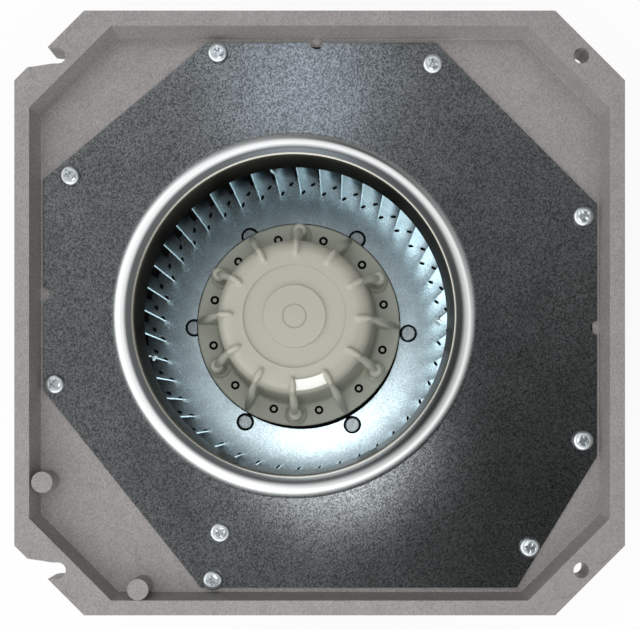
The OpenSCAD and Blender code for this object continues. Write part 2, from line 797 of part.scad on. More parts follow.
module rotor_cup() {
    cup_z = wheel_z - cup_flange_t;
    hub_r = shaft_r + ring_wall() - 0.3;
    hub_flare = 5;
    hub_root = 8;
    hub_end = 4;
    color("wheat") at_axis() rotate(rotor_phase) difference() {
        union() {
            rotate_extrude($fn = 180) difference() {
                polygon(concat(
                    [[0, hub_z], [0, face_z], [face_r, face_z]],
                    reversed(dome_curve(0)),
                    [[rotor_r - 1, step_z], [rotor_r, step_z - 1], [rotor_r, cup_z]],
                    [[cup_bore_r, cup_z], [cup_bore_r, step_z - step_t]],
                    dome_curve(dome_wall),
                    [[hub_r + hub_root, face_z - dome_wall], [hub_r + hub_flare, hub_z + hub_flare]],
                    [[hub_r, hub_z + hub_end], [hub_r, hub_z]]
                ));
                translate([disc_r, face_z - recess_d]) square([face_r - land_w - disc_r, recess_d + past]);
            }
            translate([0, 0, face_z - past]) cylinder(r = nose_r, h = past + 0.8);
            rotor_fins();
            rotor_stubs();
        }
        translate([0, 0, hub_z - past]) cylinder(r = shaft_r + fit_gap, h = shaft_grip + past);
        for (a = dimple_angles) rotate(a) translate([dimple_ring_r, 0, step_z - dimple_d])
            cylinder(r = dimple_r, h = dimple_d + past);
    }
}

// Ring that is pressed on the bell's skirt and carries the wheel
module rotor_flange() {
    color("silver") at_axis() translate([0, 0, wheel_z - cup_flange_t])
        linear_extrude(cup_flange_t) difference() {
            circle(r = rotor_r + cup_flange_w, $fn = 180);
            circle(r = rotor_r + fit_gap, $fn = 180);
            for (a = rivet_angles) rotate(a) translate([rivet_ring_r, 0]) circle(d = rivet_d + 2 * fit_gap);
        }
}

// Length of the shaft inside the bell's hub
shaft_grip = 26;

// Point on the dome's rounded shoulder, halfway round it, at a distance from the shoulder's centre
function shoulder_point(r) = [face_r, face_z - shoulder_r] + r * [cos(45), sin(45)];

// Upright rib from inside the dome's wall out to a given edge on the step
module rotor_rib(edge_r, edge_h) {
    mid = dome_wall / 2;
    translate([0, fin_t / 2, 0]) rotate([90, 0, 0]) linear_extrude(fin_t) polygon([
        [dome_r - mid, step_z - past], [edge_r, step_z - past], [edge_r, step_z + edge_h],
        shoulder_point(shoulder_r + fin_t / 3), shoulder_point(shoulder_r - mid),
        [dome_top_r - mid, face_z - shoulder_r]
    ]);
}

module rotor_fins() {
    for (a = fin_angles) rotate(a) rotor_rib(rotor_r - 1, past);
}

// Round stubs on the step, each on a wider foot and joined to the dome by a rib
module rotor_stubs() {
    for (a = stub_angles) rotate(a) {
        translate([stub_ring_r, 0, step_z - past]) cylinder(r = foot_r, h = stub_h / 4 + past);
        translate([stub_ring_r, 0, step_z - past]) cylinder(r = stub_r, h = stub_h + past);
        rotor_rib(stub_ring_r, stub_h);
    }
}

module rotor_core() {
    color("dimgray") at_axis() translate([0, 0, stack_z])
        ring(core_in_r, cup_bore_r - fit_gap, stack_top_z - stack_z);
}

module cage_end_rings() {
    color("silver") at_axis() for (z = [stack_z - cage_t, stack_top_z]) translate([0, 0, z])
        ring(core_in_r + 1, cup_bore_r - 1, cage_t);
}

// Rear end of the shaft, and the groove for its ring
shaft_z = rear_bearing_z - 1.5;
groove_t = 1;
groove_d = 0.8;

module shaft() {
    color("gainsboro") at_axis() rotate_extrude() polygon([
        [0, shaft_z], [shaft_r - 0.5, shaft_z], [shaft_r - 0.5, rear_bearing_z - groove_t - fit_gap],
        [shaft_r - groove_d, rear_bearing_z - groove_t - fit_gap], [shaft_r - groove_d, rear_bearing_z],
        [shaft_r, rear_bearing_z], [shaft_r, hub_z + shaft_grip - 1], [shaft_r - 1, hub_z + shaft_grip],
        [0, hub_z + shaft_grip]
    ]);
}

module shaft_circlip() {
    opening = 40;
    width = 2.2;
    color("black") at_axis() translate([0, 0, rear_bearing_z - groove_t]) rotate(opening / 2)
        rotate_extrude(angle = 360 - opening)
            translate([shaft_r - groove_d + fit_gap, 0]) square([width, groove_t]);
}

module impeller_back_plate() {
    tab = [3.4, 1.4];
    tab_off = 0.5;
    tab_shares = [0.12, 0.7];
    color("lightslategray") at_axis() translate([0, 0, wheel_z]) linear_extrude(wheel_t) difference() {
        circle(wheel_r);
        circle(rotor_r + fit_gap);
        for (a = rivet_angles) rotate(a) translate([rivet_ring_r, 0]) circle(d = rivet_d + 2 * fit_gap);
        for (k = [0:blade_n - 1], share = tab_shares) rotate(blade_phase + 360 * k / blade_n) {
            tilt = blade_in_tilt + share * (blade_out_tilt - blade_in_tilt);
            translate(blade_point(tilt, -tab_off)) rotate(-tilt) square(tab, center = true);
        }
    }
}

// One blade stands on its inner edge at the +X side and leans outwards and clockwise
module impeller_blades() {
    color("lightsteelblue") at_axis() for (k = [0:blade_n - 1])
        rotate(blade_phase + 360 * k / blade_n) translate([blade_centre[0], blade_centre[1], wheel_top_z])
            rotate(90 - blade_out_tilt) rotate_extrude(angle = blade_out_tilt - blade_in_tilt)
                translate([blade_arc_r - blade_t / 2, 0]) square([blade_t, blade_h]);
}

module impeller_front_ring() {
    color("lightslategray") at_axis() translate([0, 0, ring_z]) ring(blade_in_r + 2, wheel_r, ring_t);
}

module hub_rivets() {
    color("gainsboro") at_axis() for (a = rivet_angles) rotate(a) translate([rivet_ring_r, 0, 0]) {
        translate([0, 0, wheel_top_z]) rotate_extrude() polygon([
            [0, 0], [rivet_head_d / 2, 0], [rivet_head_d / 2, rivet_head_h / 2],
            [rivet_head_d * 0.36, rivet_head_h], [0, rivet_head_h]
        ]);
        translate([0, 0, wheel_z - cup_flange_t - rivet_head_h / 2])
            cylinder(d = rivet_d, h = cup_flange_t + wheel_t + rivet_head_h);
        translate([0, 0, wheel_z - cup_flange_t - rivet_head_h / 2])
            cylinder(d = rivet_head_d * 0.8, h = rivet_head_h / 2);
    }
}

// Spring clips bent round a blade's inner edge
module balance_clips() {
    leg_l = 3.4;
    in_w = blade_t + 2 * clip_gap;
    color("white") at_axis() for (c = clips)
        rotate(blade_phase + 360 * c[0] / blade_n) translate([blade_in_r, 0, wheel_top_z + c[1]])
            rotate(-blade_in_tilt) linear_extrude(clip_h) difference() {
                translate([-clip_gap - clip_t, -in_w / 2 - clip_t])
                    square([clip_gap + clip_t + leg_l, in_w + 2 * clip_t]);
                translate([-clip_gap, -in_w / 2]) square([clip_gap + leg_l + past, in_w]);
            }
}

inlet_tray();
scroll_housing();
inlet_plate();
inlet_plate_screws();
motor_flange();
motor_flange_screws();
earth_screw();
cable_grommet();
bearing_cover();
preload_spring();
front_bearing_outer();
rear_bearing_outer();
bearing_balls();
bearing_shields();
stator_core();
stator_winding();
front_end_insulator();
rear_end_insulator();
thermal_protector();
rotor_cup();
rotor_flange();
rotor_core();
cage_end_rings();
shaft();
shaft_circlip();
front_bearing_inner();
rear_bearing_inner();
impeller_back_plate();
impeller_blades();
impeller_front_ring();
hub_rivets();
balance_clips();
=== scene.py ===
"""Looks of a square centrifugal fan that lies on its back, modelled on its packed frame."""

import json
import math

import bmesh
import bpy
from mathutils import Euler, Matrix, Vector


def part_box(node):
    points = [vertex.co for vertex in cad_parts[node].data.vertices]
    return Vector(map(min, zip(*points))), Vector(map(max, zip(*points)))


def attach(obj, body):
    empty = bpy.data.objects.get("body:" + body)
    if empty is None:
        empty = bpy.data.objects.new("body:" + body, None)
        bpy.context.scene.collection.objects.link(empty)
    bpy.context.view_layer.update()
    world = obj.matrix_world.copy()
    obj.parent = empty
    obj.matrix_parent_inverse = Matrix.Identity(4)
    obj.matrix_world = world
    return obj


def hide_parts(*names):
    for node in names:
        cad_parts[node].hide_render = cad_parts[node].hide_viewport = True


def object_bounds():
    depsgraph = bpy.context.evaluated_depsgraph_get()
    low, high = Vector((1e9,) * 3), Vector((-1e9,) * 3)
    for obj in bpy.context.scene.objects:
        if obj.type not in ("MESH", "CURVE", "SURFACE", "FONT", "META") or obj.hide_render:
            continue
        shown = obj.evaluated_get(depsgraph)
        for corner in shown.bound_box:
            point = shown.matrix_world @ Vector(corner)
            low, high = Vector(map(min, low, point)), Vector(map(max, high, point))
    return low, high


bl_info = {
    "name": "Centrifugal fan looks",
    "version": (1, 0, 0),
    "blender": (4, 5, 0),
    "location": "3D View > Sidebar > Fan",
    "description": "Models and paints the pieces of a square centrifugal fan on its frame",
    "category": "Object",
}

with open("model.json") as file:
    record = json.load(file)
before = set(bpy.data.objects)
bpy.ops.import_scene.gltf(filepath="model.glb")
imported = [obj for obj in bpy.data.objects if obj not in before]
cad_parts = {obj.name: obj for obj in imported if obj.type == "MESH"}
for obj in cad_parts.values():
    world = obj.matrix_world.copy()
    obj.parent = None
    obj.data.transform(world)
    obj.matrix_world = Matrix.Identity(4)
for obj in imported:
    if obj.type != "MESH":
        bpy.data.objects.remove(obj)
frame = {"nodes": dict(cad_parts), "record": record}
cad_box = [list(corner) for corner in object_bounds()]

MM = 0.001
# Steps of the large round pieces
STEPS = 192
# Sheet of the inlet plate, height of its screw heads and thickness of the bell's step, in mm
SHEET, HEAD_HEIGHT, STEP_THICK = 1.5, 3.8, 4
AXIS = Vector(frame["record"]["behaviour"]["joints"][0]["pos_m"])
AXIS.z = 0

RIM_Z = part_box("inlet_tray")[1].z
PLATE_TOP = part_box("inlet_plate_screws")[1].z - HEAD_HEIGHT * MM
FLOOR_Z = PLATE_TOP - SHEET * MM
CROWN_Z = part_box("inlet_plate")[1].z
THROAT_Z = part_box("inlet_plate")[0].z
WHEEL_LOW, WHEEL_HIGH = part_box("impeller_back_plate")
BLADE_LOW, BLADE_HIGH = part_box("impeller_blades")
WHEEL_RADIUS = (WHEEL_HIGH.x - WHEEL_LOW.x) / 2
CUP_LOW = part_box("rotor_cup")[0].z
HUB_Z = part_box("front_bearing_inner")[1].z

# Corner cuts of the inlet plate: direction in degrees and distance from the fan axis in mm
CORNER_CUTS = ((129.9, 155.35), (45, 171.78), (-31.4, 194.81), (218.6, 142.4))
# Middles of the plate's edge notches in mm
NOTCHES = ((-2, 159.8), (-162.5, 12), (162.5, -7.4))
# Plate screws in mm, and how far each one's cross is turned in degrees
SCREWS = (
    (-59.9, 153.6, 10), (65.9, 147.0, 62), (154.1, 57.7, 35), (153.9, -73.5, 20), (122.7, -136.0, 75),
    (-155.4, -40.4, 50), (-146.4, 81.6, 28), (-62.8, -155.2, 5), (-58.5, -127.3, 40),
)
# Ejector marks in mm: on the rim, and smaller ones on the sunk floor
RIM_MARKS = [(x, y) for sx in (-1, 1) for sy in (-1, 1) for x, y in ((160.5 * sx, 138 * sy), (140 * sx, 158 * sy))]
FLOOR_MARKS = ((-98, 137), (99, 133), (135, 97))
# Where along a blade's curve its two tabs pass the back plate, and length, width and depth of their slots in mm
TABS = (0.12, 0.7)
SLOT = (3.8, 1.7, 2.4)
# Ribs of each kind and rivets round the hub, and radius of the ring of dimples and inset of the stubs in mm
RIBS, RIVETS = 6, 6
DIMPLE_RING, STUB_INSET = 57.2, 8.6
# Where the label begins and how far it reaches in degrees, round the axis and down the shoulder
LABEL_ROUND, LABEL_DOWN = (269, 29), (7, 41)
# Places of the camera and lamps in mm, sizes of the lamps in metres, and shift of the camera's picture
CAMERA_Y, CAMERA_SHIFT = -55.6, (-0.0281, 0.1492)
FLASH_AT, FLASH_SIZE = (2, -86), 0.19
WINDOW_AT, WINDOW_AIM, WINDOW_SIZE = Vector((-74, 662, 1616)), Vector((-12, 132, 116)), 0.3
# Darkest direction of the room, and its light by the cosine from there
ZENITH = Vector((0.2, -0.12, 1)).normalized()
SKY = (
    (0.0, 0.75), (0.35, 0.95), (0.5, 1.07), (0.78, 1.07), (0.84, 0.8),
    (0.94, 0.5), (0.966, 0.36), (0.988, 0.2), (1.0, 0.06),
)


def linear(code):
    """An sRGB hex colour as linear red, green, blue and alpha."""
    parts = [int(code[i:i + 2], 16) / 255 for i in (0, 2, 4)]
    return tuple(c / 12.92 if c <= 0.04045 else ((c + 0.055) / 1.055) ** 2.4 for c in parts) + (1.0,)


def length(name, description, default):
    """A length in metres, given in mm, that the panel shows."""
    return bpy.props.FloatProperty(
        name=name, description=description, default=default * MM, min=0, precision=4, unit="LENGTH"
    )


def angle(name, description, default):
    """An angle, given in degrees, that the panel shows."""
    return bpy.props.FloatProperty(
        name=name, description=description, default=math.radians(default), subtype="ANGLE"
    )


def colour(name, description, code):
    """A colour that the panel shows."""
    return bpy.props.FloatVectorProperty(
        name=name, description=description, default=linear(code), size=4, min=0, max=1, subtype="COLOR"
    )


def power(name, description, default):
    """The power of a lamp in watts, that the panel shows."""
    return bpy.props.FloatProperty(name=name, description=description, default=default, unit="POWER")


class FanTray(bpy.types.PropertyGroup):
    """Sizes of the cast tray and scroll"""

    edge_round: length("Edge round", "Rounding of the casting's plain edges", 0.5)
    rim_round: length("Rim round", "Rounding of the rim's inner edge", 1.2)
    floor_round: length("Floor fillet", "Fillet where the sloped wall meets the floor", 1.8)
    mark_depth: length("Mark depth", "Depth of the ejector marks", 0.2)
    rim_mark: length("Rim mark radius", "Radius of the ejector marks on the rim", 5.5)
    floor_mark: length("Floor mark radius", "Radius of the ejector marks on the floor", 3.7)


class FanPlate(bpy.types.PropertyGroup):
    """Sizes of the inlet plate and its screws"""

    sheet: length("Sheet", "Thickness of the inlet plate", SHEET)
    throat: length("Throat radius", "Radius of the inlet's narrowest place", 92.1)
    crown: length("Crown radius", "Radius of the lip's highest line", 94.9)
    foot: length("Foot radius", "Radius where the lip meets the plate", 104.7)
    edge_round: length("Edge round", "Depth of the round at the lip's inner edge", 2)
    notch: length("Notch radius", "Radius of the edge notches", 4)
    head: length("Screw head radius", "Radius of the pan heads", 6)
    head_height: length("Screw head height", "Height of the pan heads", HEAD_HEIGHT)
    shank: length("Shank length", "Length of a screw under its head", 14)


class FanWheel(bpy.types.PropertyGroup):
    """Sizes of the drum wheel"""

    blades: bpy.props.IntProperty(name="Blades", description="Blades round the wheel", default=42, min=3)
    phase: angle("Blade phase", "Direction of the first blade's inner edge", 4.4)
    inner: length("Inner radius", "Radius of the blades' inner edges", 96)
    bend: length("Blade bend", "Radius that a blade is bent to", 44)
    tilt_in: angle("Inner tilt", "Tilt of a blade at its inner edge", 44)
    tilt_out: angle("Outer tilt", "Tilt of a blade at its outer edge", 64)
    sheet: length("Blade sheet", "Thickness of a blade", 1)
    hub_gap: length("Hub gap", "Dark gap between the back plate and the rotor bell", 2.2)
    rivet_ring: length("Rivet ring", "Radius of the ring of rivets", 75)
    rivet: length("Rivet radius", "Radius of a rivet head", 5.0)
    # The pocket looks dark because its walls and floor carry painted shade.
    pocket: length("Pocket radius", "Radius of the dark pocket round a rivet", 6.2)


class FanRotor(bpy.types.PropertyGroup):
    """Sizes of the rotor bell"""

    phase: angle("Rotor phase", "Direction of the first rib and rivet", -1.5)
    skirt: length("Skirt radius", "Outer radius of the bell", 66.8)
    step: length("Step height", "Height of the bell's step above the back", 54)
    face: length("Face height", "Height of the bell's face above the back", 112)
    foot: length("Dome foot radius", "Radius of the dome where it meets the step", 51.5)
    dome: length("Dome radius", "Radius of the dome under its shoulder", 46.5)
    shoulder: length("Shoulder", "Rounding of the dome's shoulder", 10.2)
    stub: length("Stub height", "Height of the stubs on the step", 22)
    wall: length("Wall", "Wall of the bell", 4)
    bore: length("Bore radius", "Inner radius of the bell's skirt", 62)
    voxel: length("Blend size", "Size of the blend where ribs meet the dome", 0.6)


class FanFinish(bpy.types.PropertyGroup):
    """Colours of the finishes"""

    casting: colour("Casting", "Raw die-cast aluminium", "959290")
    plate: colour("Inlet plate", "Galvanised sheet of the inlet plate", "616465")
    # Painted highlight over the drawn zinc: the lip's near-white colour stands for its reflection of the bright room.
    lip: colour("Lip", "Burnished zinc of the drawn lip", "f0f3f3")
    # Painted highlight: this lighter colour draws the bright reflected line along the lip's inner edge.
    edge: colour("Inner edge", "Rubbed zinc of the lip's inner edge", "a9a8a0")
    wall: colour("Inner wall", "Bare drawn steel inside the lip", "66635a")
    wheel: colour("Wheel", "Galvanised sheet of the wheel", "bdcfd6")
    paint: colour("Rotor paint", "Cream stoving paint of the rotor bell", "a3a296")
    # Painted light: this paler paint stands for the stronger light that falls on the bell's step.
    step: colour("Step paint", "Scoured paint of the bell's step", "c6c9ba")
    zinc: colour("Screws", "Zinc plating of the screws", "bcc2c5")
    label: colour("Label", "Blank paper label", "e9e9e4")


class FanStage(bpy.types.PropertyGroup):
    """Camera, floor and light"""

    lens: bpy.props.FloatProperty(
        name="Lens", description="Focal length on a 36 mm sensor", default=51.05, unit="CAMERA"
    )
    height: length("Camera height", "Height of the camera above the rim", 520)
    right: length("Camera offset", "Place of the camera to the right of the middle", 10.5)
    floor: colour("Floor", "Plain pale floor", "f4f4f2")
    flash: power("Front light", "Power of the small front light", 0.42)
    window: power("Window", "Power of the soft cool light", 0.6)


def clear_selection():
    """Leaves edit mode and selects nothing."""
    if bpy.context.mode != "OBJECT":
        bpy.ops.object.mode_set(mode="OBJECT")
    bpy.ops.object.select_all(action="DESELECT")


def activate(*objects):
    """Selects these objects alone, the last one active."""
    clear_selection()
    for one in objects:
        one.select_set(True)
    bpy.context.view_layer.objects.active = objects[-1]


def edit(piece):
    """Enters edit mode on a piece with all of it selected."""
    activate(piece)
    bpy.ops.object.mode_set(mode="EDIT")
    bpy.ops.mesh.select_mode(type="VERT")
    bpy.ops.mesh.select_all(action="SELECT")


def pick(kind, test):
    """Selects, in edit mode, the vertices, edges or faces that pass the test."""
    bpy.ops.mesh.select_mode(type=kind)
    bpy.ops.mesh.select_all(action="DESELECT")
    mesh = bmesh.from_edit_mesh(bpy.context.edit_object.data)
    mesh.normal_update()
    parts = {"VERT": mesh.verts, "EDGE": mesh.edges, "FACE": mesh.faces}[kind]
    for part in parts:
        if test(part):
            part.select_set(True)
    bmesh.update_edit_mesh(bpy.context.edit_object.data)


def start(name):
    """Names the primitive that was just added and puts its place into its mesh."""
    piece = bpy.context.object
    piece.name = piece.data.name = name
    bpy.ops.object.transform_apply(location=True, rotation=True, scale=True)
    return piece


def drawn(name, points):
    """A line drawn out from point to point, left in edit mode with all of it selected."""
    clear_selection()
    bpy.ops.mesh.primitive_plane_add(size=MM, location=points[0])
    piece = start(name)
    edit(piece)
    bpy.ops.mesh.merge(type="CENTER")
    for here, there in zip(points, points[1:]):
        move = Vector(there) - Vector(here)
        bpy.ops.mesh.extrude_vertices_move(TRANSFORM_OT_translate={"value": move})
    bpy.ops.mesh.select_all(action="SELECT")
    return piece


def close_mesh():
    """Merges doubles, turns all faces outwards and leaves edit mode."""
    bpy.ops.mesh.select_all(action="SELECT")
    bpy.ops.mesh.remove_doubles(threshold=0.002 * MM)
    bpy.ops.mesh.normals_make_consistent(inside=False)
    bpy.ops.object.mode_set(mode="OBJECT")


def turned(name, profile, steps=STEPS, centre=AXIS):
    """A round piece: a profile of radius and height spun once round an upright line."""
    piece = drawn(name, [(centre.x + r, centre.y, z) for r, z in profile])
    bpy.ops.mesh.spin(steps=steps, angle=math.tau, center=(centre.x, centre.y, 0), axis=(0, 0, 1))
    close_mesh()
    return piece


def modify(piece, kind, **settings):
    """Adds a modifier with its settings and applies it."""
    activate(piece)
    bpy.ops.object.modifier_add(type=kind)
    made = piece.modifiers[-1]
    for key, value in settings.items():
        setattr(made, key, value)
    bpy.ops.object.modifier_apply(modifier=made.name)


def cut(piece, tool):
    """Cuts a tool's shape out of a piece."""
    modify(piece, "BOOLEAN", operation="DIFFERENCE", solver="EXACT", object=tool)
    bpy.data.objects.remove(tool)


def join(name, *pieces):
    """Joins pieces into the last one and names it."""
    activate(*pieces)
    bpy.ops.object.join()
    piece = bpy.context.object
    piece.name = piece.data.name = name
    return piece


def peg(name, radius, depth, place, sides=40):
    """An upright cylinder, to cut with."""
    clear_selection()
    bpy.ops.mesh.primitive_cylinder_add(vertices=sides, radius=radius, depth=depth, location=place)
    return start(name)


def repeat_round(piece, count):
    """Repeats a piece round the fan axis."""
    edit(piece)
    bpy.ops.mesh.spin(
        steps=count - 1, dupli=True, angle=math.tau * (count - 1) / count, center=AXIS, axis=(0, 0, 1)
    )
    bpy.ops.object.mode_set(mode="OBJECT")


def smooth(piece, degrees=35):
    """Shades a piece smooth, apart from its sharp edges."""
    activate(piece)
    bpy.ops.object.shade_smooth_by_angle(angle=math.radians(degrees))
    modify(piece, "WEIGHTED_NORMAL", keep_sharp=True)


def cad_copy(node, name):
    """A merged copy of a CAD node's mesh, for a finer piece that stands for it."""
    piece = bpy.data.objects.new(name, frame["nodes"][node].data.copy())
    bpy.context.scene.collection.objects.link(piece)
    activate(piece)
    bpy.ops.mesh.customdata_custom_splitnormals_clear()
    edit(piece)
    bpy.ops.mesh.remove_doubles(threshold=0.005 * MM)
    bpy.ops.mesh.dissolve_limited(angle_limit=math.radians(0.3))
    bpy.ops.object.mode_set(mode="OBJECT")
    return piece


def polar(radius, degrees, z=0.0):
    """A point at a radius and direction from the fan axis."""
    turn = math.radians(degrees)
    return Vector((AXIS.x + radius * math.cos(turn), AXIS.y + radius * math.sin(turn), z))


def reach(point):
    """Distance of a point from the fan axis."""
    return math.hypot(point.x - AXIS.x, point.y - AXIS.y)


def quarter(centre, across, up, count):
    """Points of a quarter ellipse, from its top to its side, about a centre of radius and height."""
    turns = [math.pi / 2 * i / count for i in range(count + 1)]
    return [(centre[0] + across * math.sin(t), centre[1] + up * math.cos(t)) for t in turns]


def eased(before, last, level, run, count):
    """Points that ease a falling line of radius and height into a level, from its last point on."""
    slope = (last[0] - before[0]) / (before[1] - last[1])
    a, b = Vector(last), Vector((last[0] + slope * (last[1] - level), level))
    c = b + Vector((run, 0))
    steps = [i / count for i in range(count + 1)]
    return [tuple(a * (1 - t) ** 2 + b * 2 * t * (1 - t) + c * t ** 2) for t in steps]


def dress(piece, material):
    """Gives a piece this material alone."""
    piece.data.materials.clear()
    piece.data.materials.append(material)


def put_on(piece, material, body, slot, *nodes):
    """Gives a finished piece its material and body, and hides the CAD nodes that it stands for; its finish slot is not
    used.
    """
    dress(piece, material)
    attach(piece, body)
    if nodes:
        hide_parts(*nodes)


def part_finish(piece, material, test):
    """Gives the faces of a piece that pass the test a second material."""
    piece.data.materials.append(material)
    edit(piece)
    pick("FACE", test)
    piece.active_material_index = 1
    bpy.ops.object.material_slot_assign()
    bpy.ops.object.mode_set(mode="OBJECT")


def add(tree, kind, settings, links):
    """Adds a node, with its settings and with the value or link of each input that is named."""
    made = tree.nodes.new(kind)
    for key, value in settings.items():
        setattr(made, key, value)
    for key, value in links.items():
        if isinstance(value, bpy.types.NodeSocket):
            tree.links.new(value, made.inputs[key])
        else:
            made.inputs[key].default_value = value
    return made


def ramp(tree, share, stops):
    """A colour that follows a share between 0 and 1, from stop to stop."""
    made = add(tree, "ShaderNodeValToRGB", {}, {"Fac": share})
    elements = made.color_ramp.elements
    while len(elements) < len(stops):
        elements.new(1.0)
    for element, (at, tint) in zip(elements, stops):
        element.position = at
        element.color = tint
    return made.outputs["Color"]


def blank(name):
    """A new material, its node tree and its shader."""
    material = bpy.data.materials.new(name)
    material.use_nodes = True
    tree = material.node_tree
    return material, tree, tree.nodes["Principled BSDF"]


def metal(name, tint, rough, grain, speckle, cloud, mottle, bump, metallic=1.0, spread=0.1):
    """A metal whose colour and gloss vary in fine grains (mm), and its colour in wide clouds (mm).

    Real grains are finer than the render can show, so they are drawn as coarse as they need to be to show.
    """
    if name in bpy.data.materials:
        return bpy.data.materials[name]
    material, tree, shader = blank(name)
    place = add(tree, "ShaderNodeTexCoord", {}, {}).outputs["Object"]
    fine = add(tree, "ShaderNodeTexNoise", {}, {"Vector": place, "Scale": 1 / (grain * MM), "Detail": 1.0})
    wide = add(tree, "ShaderNodeTexNoise", {}, {"Vector": place, "Scale": 1 / (cloud * MM), "Detail": 4.0})
    cells = add(tree, "ShaderNodeTexVoronoi", {}, {"Vector": place, "Scale": 1 / (grain * MM)}).outputs["Color"]
    grains = add(tree, "ShaderNodeMapRange", {}, {
        "Value": cells, "From Min": 0.2, "From Max": 0.8, "To Min": 1 - speckle, "To Max": 1 + speckle
    })
    clouds = add(tree, "ShaderNodeMapRange", {}, {
        "Value": wide.outputs["Fac"], "From Min": 0.3, "From Max": 0.7, "To Min": 1 - mottle, "To Max": 1 + mottle
    })
    tone = add(tree, "ShaderNodeMath", {"operation": "MULTIPLY"}, {0: grains.outputs[0], 1: clouds.outputs[0]})
    paint = add(tree, "ShaderNodeVectorMath", {"operation": "SCALE"}, {0: tint[:3], "Scale": tone.outputs[0]})
    gloss = add(tree, "ShaderNodeMapRange", {}, {
        "Value": cells, "From Min": 0.2, "From Max": 0.8, "To Min": rough * (1 + spread), "To Max": rough * (1 - spread)
    })
    relief = add(tree, "ShaderNodeBump", {}, {
        "Height": fine.outputs["Fac"], "Strength": bump, "Distance": 0.05 * MM
    })
    tree.links.new(paint.outputs[0], shader.inputs["Base Color"])
    tree.links.new(gloss.outputs[0], shader.inputs["Roughness"])
    tree.links.new(relief.outputs[0], shader.inputs["Normal"])
    shader.inputs["Metallic"].default_value = metallic
    return material


def coat(name, tint, rough, grain, contrast, bump, ior=1.5):
    """A paint, plastic, rubber or paper whose colour and relief vary in grains (mm)."""
    if name in bpy.data.materials:
        return bpy.data.materials[name]
    material, tree, shader = blank(name)
    place = add(tree, "ShaderNodeTexCoord", {}, {}).outputs["Object"]
    fine = add(tree, "ShaderNodeTexNoise", {}, {"Vector": place, "Scale": 1 / (grain * MM), "Detail": 3.0})
    tone = add(tree, "ShaderNodeMapRange", {}, {
        "Value": fine.outputs["Fac"], "From Min": 0.3, "From Max": 0.7, "To Min": 1 - contrast, "To Max": 1 + contrast
    })
    paint = add(tree, "ShaderNodeVectorMath", {"operation": "SCALE"}, {0: tint[:3], "Scale": tone.outputs[0]})
    relief = add(tree, "ShaderNodeBump", {}, {
        "Height": fine.outputs["Fac"], "Strength": bump, "Distance": 0.1 * MM
    })
    tree.links.new(paint.outputs[0], shader.inputs["Base Color"])
    tree.links.new(relief.outputs[0], shader.inputs["Normal"])
    shader.inputs["Roughness"].default_value = rough
    shader.inputs["IOR"].default_value = ior
    return material


def from_axis(tree):
    """Distance from the fan axis, for finishes that change with the radius."""
    place = add(tree, "ShaderNodeTexCoord", {}, {}).outputs["Object"]
    flat = add(tree, "ShaderNodeVectorMath", {"operation": "MULTIPLY_ADD"}, {0: place, 1: (1, 1, 0), 2: -AXIS})
    return add(tree, "ShaderNodeVectorMath", {"operation": "LENGTH"}, {0: flat.outputs[0]}).outputs["Value"]


def base_of(material):
    """A material's node tree, the base colour of its shader and the colour that feeds it."""
    tree = material.node_tree
    base = tree.nodes["Principled BSDF"].inputs["Base Color"]
    return tree, base, base.links[0].from_socket


def casting_finish():
    """Raw die-cast aluminium: matt, faintly mottled, with a fine grain."""
    return metal(
        "die_cast_aluminium", bpy.context.scene.fan_finish.casting, rough=0.55, grain=0.8, speckle=0.12,
        cloud=14, mottle=0.05, bump=0.3, metallic=0.6,
    )


def plate_finish():
    """Hot-dip galvanised sheet: dull and speckled, drawn smooth on the lip, with a painted highlight on its outer slope
    and a painted highlight line at its inner edge.
    """
    name = "hot_dip_galvanised_steel"
    if name in bpy.data.materials:
        return bpy.data.materials[name]
    look, colours = bpy.context.scene.fan_plate, bpy.context.scene.fan_finish
    material = metal(
        name, colours.plate, rough=0.2, grain=0.7, speckle=0.5, cloud=25, mottle=0.1, bump=0.15, spread=0.0
    )
    tree, base, plain = base_of(material)
    away = from_axis(tree)
    first, last = look.throat, look.foot + 3 * MM
    share = add(tree, "ShaderNodeMapRange", {}, {"Value": away, "From Min": first, "From Max": last})
    # Painted highlights: the near-white band on the lip's outer slope and the lighter line at its inner edge stand for
    # reflections of the bright room.
    zones = (
        (look.crown - 1.6 * MM, colours.wall), (look.crown - 1.2 * MM, colours.edge),
        (look.crown - 0.5 * MM, colours.edge), (look.crown + 0.4 * MM, colours.plate),
        (look.foot - 6.6 * MM, colours.plate), (look.foot - 4.4 * MM, colours.lip),
        (look.foot - 2 * MM, colours.lip), (look.foot + 2.5 * MM, colours.plate),
    )
    lip = ramp(tree, share.outputs[0], [((r - first) / (last - first), tint) for r, tint in zones])
    sheet = add(tree, "ShaderNodeMapRange", {}, {
        "Value": away, "From Min": look.foot - 1 * MM, "From Max": look.foot + 2.5 * MM
    })
    tint = add(tree, "ShaderNodeMix", {"data_type": "RGBA"}, {0: sheet.outputs[0], 6: lip, 7: plain})
    tree.links.new(tint.outputs[2], base)
    return material


def wheel_finish():
    """Bright galvanised sheet of the wheel: a soft bluish sheen."""
    return metal(
        "bright_galvanised_steel", bpy.context.scene.fan_finish.wheel, rough=0.3, grain=0.6, speckle=0.15,
        cloud=12, mottle=0.12, bump=0.03,
    )


